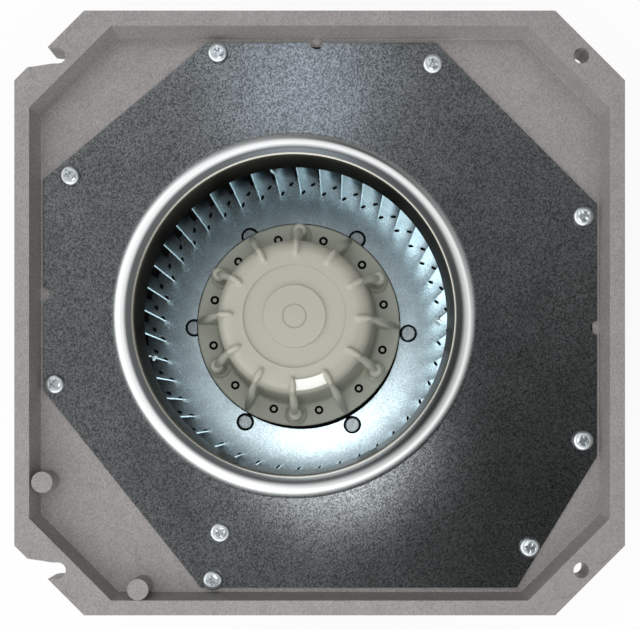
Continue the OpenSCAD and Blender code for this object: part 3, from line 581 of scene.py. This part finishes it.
def blade_finish():
    """Rolled galvanised sheet of the blades: smoother than the back plate, with painted light near their inner edges
    and painted shade towards their outer edges.
    """
    name = "rolled_galvanised_steel"
    if name in bpy.data.materials:
        return bpy.data.materials[name]
    look, colours = bpy.context.scene.fan_wheel, bpy.context.scene.fan_finish
    material = metal(
        name, colours.wheel, rough=0.16, grain=0.6, speckle=0.06, cloud=12, mottle=0.05, bump=0.0
    )
    tree, base, plain = base_of(material)
    # Painted light and shade: the blades are drawn brighter near their inner edges and darker towards their outer
    # edges.
    painted_light_and_shade = add(tree, "ShaderNodeMapRange", {"interpolation_type": "SMOOTHSTEP"}, {
        "Value": from_axis(tree), "From Min": look.inner + 0.8 * MM, "From Max": look.inner + 9 * MM,
        "To Min": 1.5, "To Max": 0.2,
    })
    tint = add(tree, "ShaderNodeVectorMath", {"operation": "SCALE"}, {0: plain, "Scale": painted_light_and_shade.outputs[0]})
    tree.links.new(tint.outputs[0], base)
    return material


def paint_finish():
    """Cream stoving paint on a casting: half-gloss, with a fine orange peel, and painted paler on the bell's step as
    painted light.
    """
    name = "cream_stoving_paint"
    if name in bpy.data.materials:
        return bpy.data.materials[name]
    look, colours = bpy.context.scene.fan_rotor, bpy.context.scene.fan_finish
    material = coat(name, colours.paint, rough=0.36, grain=1.6, contrast=0.03, bump=0.12)
    tree, base, plain = base_of(material)
    # Painted light: the paint turns paler from the dome out to the step.
    share = add(tree, "ShaderNodeMapRange", {}, {
        "Value": from_axis(tree), "From Min": look.dome, "From Max": look.foot + 1 * MM
    })
    tint = add(tree, "ShaderNodeMix", {"data_type": "RGBA"}, {0: share.outputs[0], 6: plain, 7: colours.step})
    tree.links.new(tint.outputs[2], base)
    return material


def zinc_finish():
    """Bright zinc plating on steel screws."""
    return metal(
        "zinc_plated_steel", bpy.context.scene.fan_finish.zinc, rough=0.24, grain=0.7, speckle=0.08,
        cloud=5, mottle=0.05, bump=0.05,
    )


def rivet_finish():
    """Dull zinc plating on the rivets, worn flat by the tool that set them."""
    return metal(
        "dull_zinc_plate", linear("b4bec2"), rough=0.45, grain=0.6, speckle=0.15, cloud=4, mottle=0.1, bump=0.1
    )


def scroll_shade_finish():
    """Casting painted dark inside the scroll as painted shade."""
    return metal(
        "dusty_cast_aluminium", linear("3a3a39"), rough=0.7, grain=0.8, speckle=0.12, cloud=14, mottle=0.1,
        bump=0.3, metallic=0.3,
    )


def shade_finish():
    """Dark steel, painted as shade in slots, pockets and dimples and on the rotor's shell and flange."""
    return metal(
        "dark_bare_steel", linear("1b1c1c"), rough=0.7, grain=0.8, speckle=0.1, cloud=6, mottle=0.1, bump=0.1
    )


class FAN_OT_tray(bpy.types.Operator):
    """Rounds the cast tray's edges and adds its ejector marks"""

    bl_idname = "fan.tray"
    bl_label = "Cast tray"

    def execute(self, context):
        look = context.scene.fan_tray
        tray = cad_copy("inlet_tray", "tray")
        marks = [(x, y, RIM_Z, look.rim_mark) for x, y in RIM_MARKS]
        marks += [(x, y, FLOOR_Z, look.floor_mark) for x, y in FLOOR_MARKS]
        tools = [peg("mark", radius, 2 * look.mark_depth, (x * MM, y * MM, z)) for x, y, z, radius in marks]
        widest = 4 * MM
        edit(tray)

        def sharp(edge):
            return edge.is_manifold and edge.calc_face_angle(0) > math.radians(35)

        def lies(edge, z):
            return all(abs(v.co.z - z) < 0.05 * MM for v in edge.verts)

        def sloped(edge):
            return any(0.05 < abs(f.normal.z) < 0.5 for f in edge.link_faces)

        for test, width in (
            (lambda e: sharp(e) and not sloped(e), look.edge_round),
            (lambda e: sloped(e) and lies(e, RIM_Z), look.rim_round),
            (lambda e: sloped(e) and lies(e, FLOOR_Z), look.floor_round),
        ):
            pick("EDGE", test)
            bpy.ops.transform.edge_bevelweight(value=width / widest)
        bpy.ops.object.mode_set(mode="OBJECT")
        modify(tray, "BEVEL", limit_method="WEIGHT", width=widest, segments=3, use_clamp_overlap=True)
        cut(tray, join("marks", *tools))
        smooth(tray, 40)
        put_on(tray, casting_finish(), "housing", "cast_aluminium", "inlet_tray")
        return {"FINISHED"}


class FAN_OT_scroll(bpy.types.Operator):
    """Rounds the edges of the cast scroll under the tray"""

    bl_idname = "fan.scroll"
    bl_label = "Cast scroll"

    def execute(self, context):
        scroll = cad_copy("scroll_housing", "scroll")
        modify(
            scroll, "BEVEL", limit_method="ANGLE", angle_limit=math.radians(40),
            width=context.scene.fan_tray.edge_round, segments=2, use_clamp_overlap=True,
        )
        smooth(scroll, 40)
        put_on(scroll, casting_finish(), "housing", "cast_aluminium", "scroll_housing")

        # Painted shade: the scroll's floor under the wheel and its inward-facing walls get a dark casting colour.
        def inside(face):
            middle = face.calc_center_median()
            away = Vector((middle.x - AXIS.x, middle.y - AXIS.y, 0))
            floor = face.normal.z > 0.9 and middle.z < WHEEL_LOW.z
            return floor or (abs(face.normal.z) < 0.5 and face.normal.dot(away) < -0.3 * away.length)

        part_finish(scroll, scroll_shade_finish(), inside)
        return {"FINISHED"}


class FAN_OT_plate(bpy.types.Operator):
    """Cuts the inlet plate to its outline and spins its drawn lip"""

    bl_idname = "fan.plate"
    bl_label = "Inlet plate"

    def execute(self, context):
        look = context.scene.fan_plate
        low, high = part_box("inlet_plate")
        middle = (low + high) / 2
        clear_selection()
        bpy.ops.mesh.primitive_cube_add(size=1, location=(middle.x, middle.y, PLATE_TOP - look.sheet / 2))
        bpy.context.object.scale = (high.x - low.x, high.y - low.y, look.sheet)
        plate = start("inlet_sheet")
        edit(plate)
        for degrees, away in CORNER_CUTS:
            bpy.ops.mesh.select_all(action="SELECT")
            bpy.ops.mesh.bisect(
                plane_co=polar(away * MM, degrees), plane_no=polar(1, degrees) - AXIS, use_fill=True, clear_outer=True
            )
        bpy.ops.object.mode_set(mode="OBJECT")
        modify(plate, "BEVEL", width=0.25 * MM, segments=2, limit_method="ANGLE")
        seam = look.foot + 3 * MM
        tools = [peg("opening", seam, 4 * look.sheet, (AXIS.x, AXIS.y, PLATE_TOP), STEPS)]
        for x, y in NOTCHES:
            tools.append(peg("notch", look.notch, 4 * look.sheet, (x * MM, y * MM, PLATE_TOP)))
        cut(plate, join("openings", *tools))
        rise = CROWN_Z - PLATE_TOP
        bell = quarter((look.crown, CROWN_Z - look.edge_round), -0.7 * look.edge_round, look.edge_round, 12)
        bell.append((look.throat, THROAT_Z))
        fall = quarter((look.crown, PLATE_TOP), look.foot - look.crown, rise, 24)[:18]
        foot = eased(fall[-2], fall[-1], PLATE_TOP, 1.5 * MM, 8)
        top = bell[::-1] + fall[1:] + foot[1:] + [(seam, PLATE_TOP)]
        under = []
        for before, here, after in zip([top[0]] + top, top, top[1:] + [top[-1]]):
            along = Vector((after[0] - before[0], after[1] - before[1])).normalized()
            under.append((here[0] + along.y * look.sheet, here[1] - along.x * look.sheet))
        lip = turned("lip", top + under[::-1] + [top[0]])
        plate = join("inlet_sheet", plate, lip)
        edit(plate)
        bpy.ops.mesh.remove_doubles(threshold=0.01 * MM)

        def on_seam(face):
            return abs(reach(face.calc_center_median()) - seam) < 0.05 * MM and abs(face.normal.z) < 0.1

        pick("FACE", on_seam)
        bpy.ops.mesh.delete(type="FACE")
        bpy.ops.object.mode_set(mode="OBJECT")
        smooth(plate, 30)
        put_on(plate, plate_finish(), "housing", "galvanised_sheet", "inlet_plate")
        return {"FINISHED"}


class FAN_OT_plate_screws(bpy.types.Operator):
    """Models one pan-head screw and copies it to each hole of the plate"""

    bl_idname = "fan.plate_screws"
    bl_label = "Plate screws"

    def execute(self, context):
        look = context.scene.fan_plate
        head, tall = look.head, look.head_height
        crown = quarter((0.35 * head, 0.3 * tall), 0.65 * head, 0.7 * tall, 8)
        profile = [(0, tall)] + crown + [(head, 0.1 * tall), (0.97 * head, 0)]
        shank = [(0.5 * head, 0), (0.5 * head, 2 * MM - look.shank), (0.3 * head, -look.shank), (0, -look.shank)]
        screw = turned("screw", profile + shank, 40, Vector())
        tools = []
        for turn in (0, math.pi / 2):
            clear_selection()
            bpy.ops.mesh.primitive_cube_add(size=1, location=(0, 0, tall), rotation=(0, 0, turn))
            bpy.context.object.scale = (1.12 * head, 0.24 * head, 0.9 * tall)
            tools.append(start("blade"))
        clear_selection()
        bpy.ops.mesh.primitive_cone_add(
            vertices=16, radius1=0.12 * head, radius2=0.36 * head, depth=0.8 * tall, location=(0, 0, 0.75 * tall)
        )
        tools.append(start("point"))
        for tool in tools:
            cut(screw, tool)
        modify(screw, "BEVEL", width=0.15 * MM, segments=2, limit_method="ANGLE", angle_limit=math.radians(50))
        smooth(screw, 40)
        copies = []
        for x, y, turn in SCREWS:
            one = bpy.data.objects.new("screw_copy", screw.data.copy())
            context.scene.collection.objects.link(one)
            activate(one)
            one.location = (x * MM, y * MM, PLATE_TOP)
            one.rotation_euler.z = math.radians(turn)
            copies.append(start("screw_copy"))
        bpy.data.objects.remove(screw)
        screws = join("plate_screws", *copies)
        put_on(screws, zinc_finish(), "housing", "zinc_screws", "inlet_plate_screws")
        return {"FINISHED"}


def blade_point(look, tilt, off, z):
    """A point of the first blade's curve where it has this tilt, moved off the curve."""
    local = Vector((look.inner, 0, 0))
    for turn, radius in ((look.tilt_in, -look.bend), (tilt, look.bend + off)):
        local += radius * Vector((math.sin(turn), math.cos(turn), 0))
    local.rotate(Euler((0, 0, look.phase)))
    return AXIS + local + Vector((0, 0, z))


class FAN_OT_blades(bpy.types.Operator):
    """Bends one blade and repeats it round the wheel"""

    bl_idname = "fan.blades"
    bl_label = "Blades"

    def execute(self, context):
        look = context.scene.fan_wheel
        centre = blade_point(look, look.tilt_in, -look.bend, BLADE_LOW.z)
        blade = drawn("blade", [blade_point(look, look.tilt_in, 0, BLADE_LOW.z)])
        bpy.ops.mesh.spin(steps=14, angle=look.tilt_out - look.tilt_in, center=centre, axis=(0, 0, 1))
        bpy.ops.mesh.select_all(action="SELECT")
        bpy.ops.mesh.remove_doubles(threshold=0.002 * MM)
        bpy.ops.mesh.select_all(action="SELECT")
        rise = BLADE_HIGH.z - BLADE_LOW.z
        bpy.ops.mesh.extrude_region_move(TRANSFORM_OT_translate={"value": (0, 0, rise)})
        bpy.ops.object.mode_set(mode="OBJECT")
        modify(blade, "SOLIDIFY", thickness=look.sheet, offset=0)
        modify(blade, "BEVEL", width=0.22 * MM, segments=2, limit_method="ANGLE", angle_limit=math.radians(50))
        edit(blade)
        close_mesh()
        smooth(blade, 40)
        repeat_round(blade, look.blades)
        blade.name = blade.data.name = "blades"
        put_on(blade, blade_finish(), "impeller", "galvanised_wheel", "impeller_blades")
        return {"FINISHED"}


class FAN_OT_back_plate(bpy.types.Operator):
    """Spins the wheel's back plate and punches its tab slots and rivet pockets"""

    bl_idname = "fan.back_plate"
    bl_label = "Back plate"

    def execute(self, context):
        look = context.scene.fan_wheel
        rotor = context.scene.fan_rotor
        low, high = WHEEL_LOW.z, WHEEL_HIGH.z
        inner, outer, chamfer = rotor.skirt + look.hub_gap, WHEEL_RADIUS, 0.2 * MM
        profile = [
            (inner, high), (outer - chamfer, high), (outer, high - chamfer), (outer, low + chamfer),
            (outer - chamfer, low), (inner, low), (inner, high),
        ]
        plate = turned("back_plate", profile)
        tools = []
        for share in TABS:
            tilt = look.tilt_in + share * (look.tilt_out - look.tilt_in)
            clear_selection()
            bpy.ops.mesh.primitive_cylinder_add(
                vertices=16, radius=0.5, depth=1, location=blade_point(look, tilt, -0.7 * MM, high),
                rotation=(0, 0, look.phase - tilt),
            )
            bpy.context.object.scale = [size * MM for size in SLOT]
            slot = start("slot")
            repeat_round(slot, look.blades)
            tools.append(slot)
        pocket = peg("pocket", look.pocket, 2.6 * MM, polar(look.rivet_ring, math.degrees(rotor.phase), high))
        repeat_round(pocket, RIVETS)
        cut(plate, join("holes", *tools, pocket))
        smooth(plate, 30)
        put_on(plate, wheel_finish(), "impeller", "galvanised_wheel", "impeller_back_plate")

        # Painted shade: the walls and floors of the tab slots and rivet pockets get the dark shade finish.
        def sunk(face):
            middle = face.calc_center_median()
            deep = low + 0.05 * MM < middle.z < high - 0.05 * MM
            return deep and inner + MM < reach(middle) < outer - MM

        part_finish(plate, shade_finish(), sunk)
        return {"FINISHED"}


class FAN_OT_rivets(bpy.types.Operator):
    """Spins one rivet and repeats it round the hub"""

    bl_idname = "fan.rivets"
    bl_label = "Hub rivets"

    def execute(self, context):
        look = context.scene.fan_wheel
        centre = polar(look.rivet_ring, math.degrees(context.scene.fan_rotor.phase))
        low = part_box("hub_rivets")[0].z
        top, seat = WHEEL_HIGH.z + 1.0 * MM, WHEEL_HIGH.z - 1.28 * MM
        edge, shank, upset = 0.9 * MM, 2.5 * MM, 3.7 * MM
        head = quarter((look.rivet - edge, top - edge), edge, edge, 5)
        tail = [(look.rivet, seat), (shank, seat), (shank, low + edge), (upset, low + edge)]
        foot = [(upset, low + 0.3 * MM), (3.2 * MM, low), (0, low)]
        rivet = turned("rivets", [(0, top)] + head + tail + foot, 40, centre)
        smooth(rivet, 40)
        repeat_round(rivet, RIVETS)
        put_on(rivet, rivet_finish(), "impeller", "zinc_screws", "hub_rivets")
        return {"FINISHED"}


class FAN_OT_rotor(bpy.types.Operator):
    """Blends the rotor bell's dome, ribs and stubs, and hollows it"""

    bl_idname = "fan.rotor"
    bl_label = "Rotor bell"

    def execute(self, context):
        look = context.scene.fan_rotor
        phase = math.degrees(look.phase)
        base = look.step - STEP_THICK * MM
        rim = look.dome - look.shoulder
        drop = 0.7 * MM
        shoulder = quarter((rim, look.face - look.shoulder), look.shoulder, look.shoulder - drop, 16)
        disc, land, recess = 18 * MM, rim - 5.3 * MM, look.face - 1.6 * MM
        blend = 1.2 * MM
        step = [(look.foot, look.step + 1 * MM), (look.foot + 1.5 * MM, look.step), (look.skirt - blend, look.step)]
        edge = [(look.skirt, look.step - blend), (look.skirt, base), (0, base)]
        bell = turned("rotor_bell", [(0, look.face)] + shoulder + step + edge)
        between, place = phase + 180 / RIBS, look.skirt - STUB_INSET * MM
        parts = [
            self.rib(look, phase, look.skirt - 1.5 * MM, look.step, "fin"),
            self.rib(look, between, place, look.step + look.stub - 2 * MM, "stub_rib"),
            self.stub(look, polar(place, between)),
        ]
        for part in parts:
            repeat_round(part, RIBS)
        bell = join("rotor_bell", *parts, bell)
        modify(bell, "REMESH", mode="VOXEL", voxel_size=look.voxel)
        modify(bell, "SMOOTH", factor=0.5, iterations=4)
        modify(bell, "DECIMATE", ratio=0.35)
        inner = quarter((rim, look.face - look.shoulder), look.shoulder - look.wall, look.shoulder - look.wall, 8)
        shaft, hub, grip = 6.03 * MM, 9 * MM, 26 * MM
        hollow = [(0, base - MM), (look.foot - look.wall, base - MM)] + inner[::-1]
        core = [
            (hub + 8 * MM, look.face - look.wall), (hub + 5 * MM, HUB_Z + 5 * MM), (hub, HUB_Z + 4 * MM), (hub, HUB_Z)
        ]
        bore = [(shaft, HUB_Z), (shaft, HUB_Z + grip), (0, HUB_Z + grip)]
        cut(bell, turned("hollow", hollow + core + bore, 96))
        above = look.face + MM
        nose, moat, sunk = 6.4 * MM, 7.4 * MM, look.face - 0.6 * MM
        cut(bell, turned("groove", [(nose, above), (moat, above), (moat, sunk), (nose, sunk), (nose, above)]))
        draft = 0.6 * MM
        cut(bell, turned("recess", [
            (disc, above), (land, above), (land - draft, recess), (disc + draft, recess), (disc, above)
        ]))
        ring = [(1.2, 3), (2.9, 3), (2.9, -2), (1.4, -2), (1.2, 3)]
        ring = [(r * MM, look.step + z * MM) for r, z in ring]
        dimple = turned("dimple", ring, 32, polar(DIMPLE_RING * MM, phase + 90 / RIBS))
        repeat_round(dimple, 2 * RIBS)
        cut(bell, dimple)
        skirt = turned("skirt", [
            (look.skirt, base), (look.skirt, CUP_LOW), (look.bore, CUP_LOW), (look.bore, base), (look.skirt, base)
        ])
        bell = join("rotor_bell", skirt, bell)
        smooth(bell, 40)
        put_on(bell, paint_finish(), "impeller", "cream_paint", "rotor_cup")

        # Painted shade: the bell's shell below the step and the dimples' grooves get the dark shade finish.
        def painted_shade_faces(face):
            middle = face.calc_center_median()
            away = reach(middle)
            shell = away > look.skirt - 0.9 * MM and middle.z < look.step - 0.5 * MM
            deep = abs(away - DIMPLE_RING * MM) < 3 * MM and base + MM < middle.z < look.step - 0.25 * MM
            return shell or deep

        part_finish(bell, shade_finish(), painted_shade_faces)
        return {"FINISHED"}

    def rib(self, look, degrees, edge, height, name):
        """A web out from the dome, with a round ridge over the shoulder and a cigar shape from there to the step."""
        centre = Vector((look.dome - look.shoulder, look.face - look.shoulder))
        top, knee = [
            centre + (look.shoulder + proud) * Vector((math.sin(math.radians(lean)), math.cos(math.radians(lean))))
            for lean, proud in ((8, 0.2 * MM), (50, 1.4 * MM))
        ]
        foot = Vector((edge, height))
        out = (polar(1, degrees) - AXIS).normalized()
        side = Vector((-out.y, out.x, 0))
        inside, thick = look.dome - 2 * MM, 2.4
        line = [(inside, look.step - MM), (edge, look.step - MM), foot, knee, top, (top.x, centre.y)]
        points = [AXIS + out * r + side * (-thick / 2) * MM + Vector((0, 0, z)) for r, z in line]
        web = drawn(name, points)
        bpy.ops.mesh.edge_face_add()
        bpy.ops.mesh.extrude_region_move(TRANSFORM_OT_translate={"value": side * thick * MM})
        close_mesh()
        ridges = []
        for first, last, wide in ((knee, foot, 2.6 * MM), (top, knee, 2.1 * MM)):
            run, middle = last - first, (first + last) / 2
            clear_selection()
            bpy.ops.mesh.primitive_uv_sphere_add(
                segments=24, ring_count=16, radius=1, location=AXIS + out * middle.x + Vector((0, 0, middle.y)),
                rotation=(0, math.atan2(-run.y, run.x), math.radians(degrees)),
            )
            bpy.context.object.scale = (run.length / 2 + 1.5 * MM, wide, wide)
            ridges.append(start("ridge"))
        return join(name, *ridges, web)

    def stub(self, look, centre):
        """A round stub with a crowned top on a wider foot."""
        crown, wide = 3 * MM, 6.6 * MM
        top = quarter((1.6 * MM, look.step + look.stub - crown), crown, crown, 6)
        foot = [
            (4.6 * MM, look.step + 2.6 * MM), (wide, look.step + 1.8 * MM), (wide, look.step - MM), (0, look.step - MM)
        ]
        return turned("stub", [(0, look.step + look.stub)] + top + foot, 32, centre)


class FAN_OT_label(bpy.types.Operator):
    """Lays a blank label on the shoulder of the rotor bell"""

    bl_idname = "fan.label"
    bl_label = "Blank label"

    def execute(self, context):
        look = context.scene.fan_rotor
        rim, away = look.dome - look.shoulder, look.shoulder + 0.25 * MM
        turns = [math.radians(LABEL_DOWN[0] + LABEL_DOWN[1] * i / 8) for i in range(9)]
        profile = [(rim + away * math.sin(t), look.face - look.shoulder + away * math.cos(t)) for t in turns]
        label = drawn("label", [polar(r, LABEL_ROUND[0], z) for r, z in profile])
        bpy.ops.mesh.spin(steps=16, angle=math.radians(-LABEL_ROUND[1]), center=AXIS, axis=(0, 0, 1))
        close_mesh()
        modify(label, "SOLIDIFY", thickness=0.15 * MM, offset=-1)
        smooth(label, 40)
        # Uncoated white paper: flat and matt, with hardly any grain
        paper = coat("label_paper", context.scene.fan_finish.label, rough=0.5, grain=0.8, contrast=0.02, bump=0.05)
        put_on(label, paper, "impeller", "cream_paint")
        return {"FINISHED"}


class FAN_OT_motor(bpy.types.Operator):
    """Gives the motor and the small parts that keep their CAD shapes their finishes"""

    bl_idname = "fan.motor"
    bl_label = "Motor and small parts"

    def execute(self, context):
        finishes = {
            "cast_aluminium": casting_finish(),
            "galvanised_sheet": plate_finish(),
            "galvanised_wheel": wheel_finish(),
            "zinc_screws": zinc_finish(),
            "cream_paint": paint_finish(),
        }
        # Metals of the other slots: name, colour, roughness, grain, speckle, clouds, mottling and bump
        metals = {
            # Even and bright, with a soft gloss
            "machined_aluminium": ("turned_aluminium", "c4c6c8", 0.34, 0.5, 0.06, 8, 0.05, 0.1),
            # Smooth and almost mirror bright
            "bearing_steel": ("ground_bearing_steel", "b9bcbf", 0.18, 0.6, 0.04, 6, 0.04, 0.02),
            # Darker, with a satin gloss
            "spring_steel": ("hardened_spring_steel", "8e9296", 0.3, 0.6, 0.06, 6, 0.05, 0.05),
            # Dull and rough, as stacked cut edges are
            "lamination_steel": ("punched_lamination_steel", "6d7073", 0.45, 0.5, 0.15, 10, 0.08, 0.2),
            # Warm yellow and clean
            "brass_screw": ("brass", "c9a24e", 0.28, 0.6, 0.05, 6, 0.05, 0.05),
            # Red-brown, broken up by the turns of wire
            "enamelled_copper": ("lacquered_copper_wire", "a4562b", 0.3, 0.8, 0.12, 4, 0.1, 0.3),
        }
        # Rubber and plastics: name, colour, roughness, grain, contrast and bump
        coats = {
            # Matt black and slightly dusty
            "rubber": ("black_rubber", "1d1d1e", 0.7, 0.6, 0.15, 0.3),
            # Moulded, ivory and half-matt
            "insulator_plastic": ("insulator_nylon", "d9d6cb", 0.45, 0.8, 0.04, 0.1),
            # Moulded, black and half-gloss
            "black_plastic": ("black_nylon", "202122", 0.4, 0.6, 0.1, 0.1),
        }
        for make, rows in ((metal, metals), (coat, coats)):
            for slot, (name, code, *rest) in rows.items():
                finishes[slot] = make(name, linear(code), *rest)
        for part in frame["record"]["subparts"]:
            node = frame["nodes"][part["node"]]
            if not node.hide_render:
                dress(node, finishes[part["material_slot"]])
        # Painted shade: the rotor flange, seen through the rivet pockets, gets the dark shade finish.
        dress(frame["nodes"]["rotor_flange"], shade_finish())
        return {"FINISHED"}


class FAN_OT_stage(bpy.types.Operator):
    """Sets the floor, the soft light and the camera"""

    bl_idname = "fan.stage"
    bl_label = "Stage"

    def execute(self, context):
        look = context.scene.fan_stage
        clear_selection()
        bpy.ops.mesh.primitive_plane_add(size=6, location=(0, 0, cad_box[0][2] - 0.5 * MM))
        floor = start("floor")
        # Matt white board: it keeps the fan's shadow and looks white to the camera and in reflections
        material, tree, shader = blank("pale_floor")
        shader.inputs["Base Color"].default_value = look.floor
        shader.inputs["Roughness"].default_value = 0.8
        ray = add(tree, "ShaderNodeLightPath", {}, {})
        seen = ray.outputs["Is Camera Ray"]
        for kind in ("Is Glossy Ray", "Is Transmission Ray"):
            both = {0: seen, 1: ray.outputs[kind]}
            seen = add(tree, "ShaderNodeMath", {"operation": "ADD", "use_clamp": True}, both).outputs[0]
        share = add(tree, "ShaderNodeMath", {"operation": "MULTIPLY"}, {0: seen, 1: 0.85})
        glow = add(tree, "ShaderNodeEmission", {}, {"Color": (1, 1, 1, 1), "Strength": 1.0})
        mixed = add(tree, "ShaderNodeMixShader", {}, {0: share.outputs[0], 1: shader.outputs[0], 2: glow.outputs[0]})
        tree.links.new(mixed.outputs[0], tree.nodes["Material Output"].inputs["Surface"])
        floor.data.materials.append(material)
        self.world(context)
        camera_at = Vector((look.right, CAMERA_Y * MM, RIM_Z + look.height))
        flash_at = (FLASH_AT[0] * MM, FLASH_AT[1] * MM, camera_at.z)
        self.lamp("front_light", flash_at, (0, 0, 0), FLASH_SIZE, look.flash)
        aim = (WINDOW_AIM * MM - WINDOW_AT * MM).to_track_quat("-Z", "Y").to_euler()
        window = self.lamp("cool_window", WINDOW_AT * MM, aim, WINDOW_SIZE, look.window)
        window.data.color = linear("e4efff")[:3]
        bpy.ops.object.camera_add(location=camera_at, rotation=(0, 0, 0))
        camera = context.object
        camera.name = "camera"
        camera.data.sensor_fit, camera.data.sensor_width = "HORIZONTAL", 36
        camera.data.lens = look.lens
        camera.data.shift_x, camera.data.shift_y = CAMERA_SHIFT
        camera.data.clip_start = 0.01
        context.scene.camera = camera
        context.scene.view_settings.view_transform = "Standard"
        return {"FINISHED"}

    def lamp(self, name, place, aim, size, power):
        """A round lamp at a place."""
        bpy.ops.object.light_add(type="AREA", location=place, rotation=aim)
        made = bpy.context.object
        made.name = name
        made.data.shape, made.data.size, made.data.energy = "DISK", size, power
        return made

    def world(self, context):
        """A room that is dark straight above, bright all round and dimmer at the horizon."""
        world = context.scene.world or bpy.data.worlds.new("room")
        context.scene.world = world
        world.use_nodes = True
        tree = world.node_tree
        way = add(tree, "ShaderNodeTexCoord", {}, {}).outputs["Generated"]
        # Shares along the zenith, along the dim far right corner and along the right
        rise, corner, right = [
            add(tree, "ShaderNodeVectorMath", {"operation": "DOT_PRODUCT"}, {0: way, 1: line}).outputs["Value"]
            for line in (ZENITH, (0.7, 0.7, 0), (1, 0, 0))
        ]
        sky = ramp(tree, rise, [(at, (level, level, level, 1)) for at, level in SKY])
        # Low light is stronger from the near left and weaker from the far right
        gain = add(tree, "ShaderNodeMapRange", {}, {
            "Value": corner, "From Min": -0.8, "From Max": 0.8, "To Min": 2.0, "To Max": -0.95
        })
        low = add(tree, "ShaderNodeMapRange", {}, {
            "Value": rise, "From Min": 0.35, "From Max": 0.7, "To Min": 1.0, "To Max": 0.2
        })
        side = add(tree, "ShaderNodeMath", {"operation": "MULTIPLY_ADD"}, {
            0: gain.outputs[0], 1: low.outputs[0], 2: 1.0
        })
        # Higher light is weaker from the left
        shut = add(tree, "ShaderNodeMapRange", {}, {
            "Value": right, "From Min": -0.65, "From Max": -0.2, "To Min": 0.55, "To Max": 1.08
        })
        high = add(tree, "ShaderNodeMapRange", {}, {"Value": rise, "From Min": 0.25, "From Max": 0.5})
        curtain = add(tree, "ShaderNodeMix", {"data_type": "FLOAT"}, {
            0: high.outputs[0], 2: 1.0, 3: shut.outputs[0]
        })
        level = add(tree, "ShaderNodeMath", {"operation": "MULTIPLY"}, {0: side.outputs[0], 1: curtain.outputs[0]})
        room = add(tree, "ShaderNodeVectorMath", {"operation": "SCALE"}, {0: sky, "Scale": level.outputs[0]})
        back = tree.nodes["Background"]
        tree.links.new(room.outputs[0], back.inputs["Color"])
        back.inputs["Strength"].default_value = 1.0


class FAN_PT_panel(bpy.types.Panel):
    """Sizes, colours and steps of the fan"""

    bl_idname = "FAN_PT_panel"
    bl_label = "Centrifugal fan"
    bl_space_type = "VIEW_3D"
    bl_region_type = "UI"
    bl_category = "Fan"

    def draw(self, context):
        for group in GROUPS:
            box = self.layout.box()
            look = getattr(context.scene, GROUPS[group])
            box.label(text=group.__doc__)
            for name in group.__annotations__:
                box.prop(look, name)
        for step in STEPS_IN_ORDER:
            self.layout.operator(step.bl_idname)


GROUPS = {
    FanTray: "fan_tray", FanPlate: "fan_plate", FanWheel: "fan_wheel", FanRotor: "fan_rotor",
    FanFinish: "fan_finish", FanStage: "fan_stage",
}
STEPS_IN_ORDER = (
    FAN_OT_tray, FAN_OT_scroll, FAN_OT_plate, FAN_OT_plate_screws, FAN_OT_blades, FAN_OT_back_plate,
    FAN_OT_rivets, FAN_OT_rotor, FAN_OT_label, FAN_OT_motor, FAN_OT_stage,
)


def register():
    for group, name in GROUPS.items():
        bpy.utils.register_class(group)
        setattr(bpy.types.Scene, name, bpy.props.PointerProperty(type=group))
    for step in STEPS_IN_ORDER + (FAN_PT_panel,):
        bpy.utils.register_class(step)


def unregister():
    for step in reversed(STEPS_IN_ORDER + (FAN_PT_panel,)):
        bpy.utils.unregister_class(step)
    for group, name in GROUPS.items():
        delattr(bpy.types.Scene, name)
        bpy.utils.unregister_class(group)


def main():
    """Makes every piece in order."""
    register()
    bpy.ops.fan.tray()
    bpy.ops.fan.scroll()
    bpy.ops.fan.plate()
    bpy.ops.fan.plate_screws()
    bpy.ops.fan.blades()
    bpy.ops.fan.back_plate()
    bpy.ops.fan.rivets()
    bpy.ops.fan.rotor()
    bpy.ops.fan.label()
    bpy.ops.fan.motor()
    bpy.ops.fan.stage()
    clear_selection()


if __name__ == "__main__":
    main()
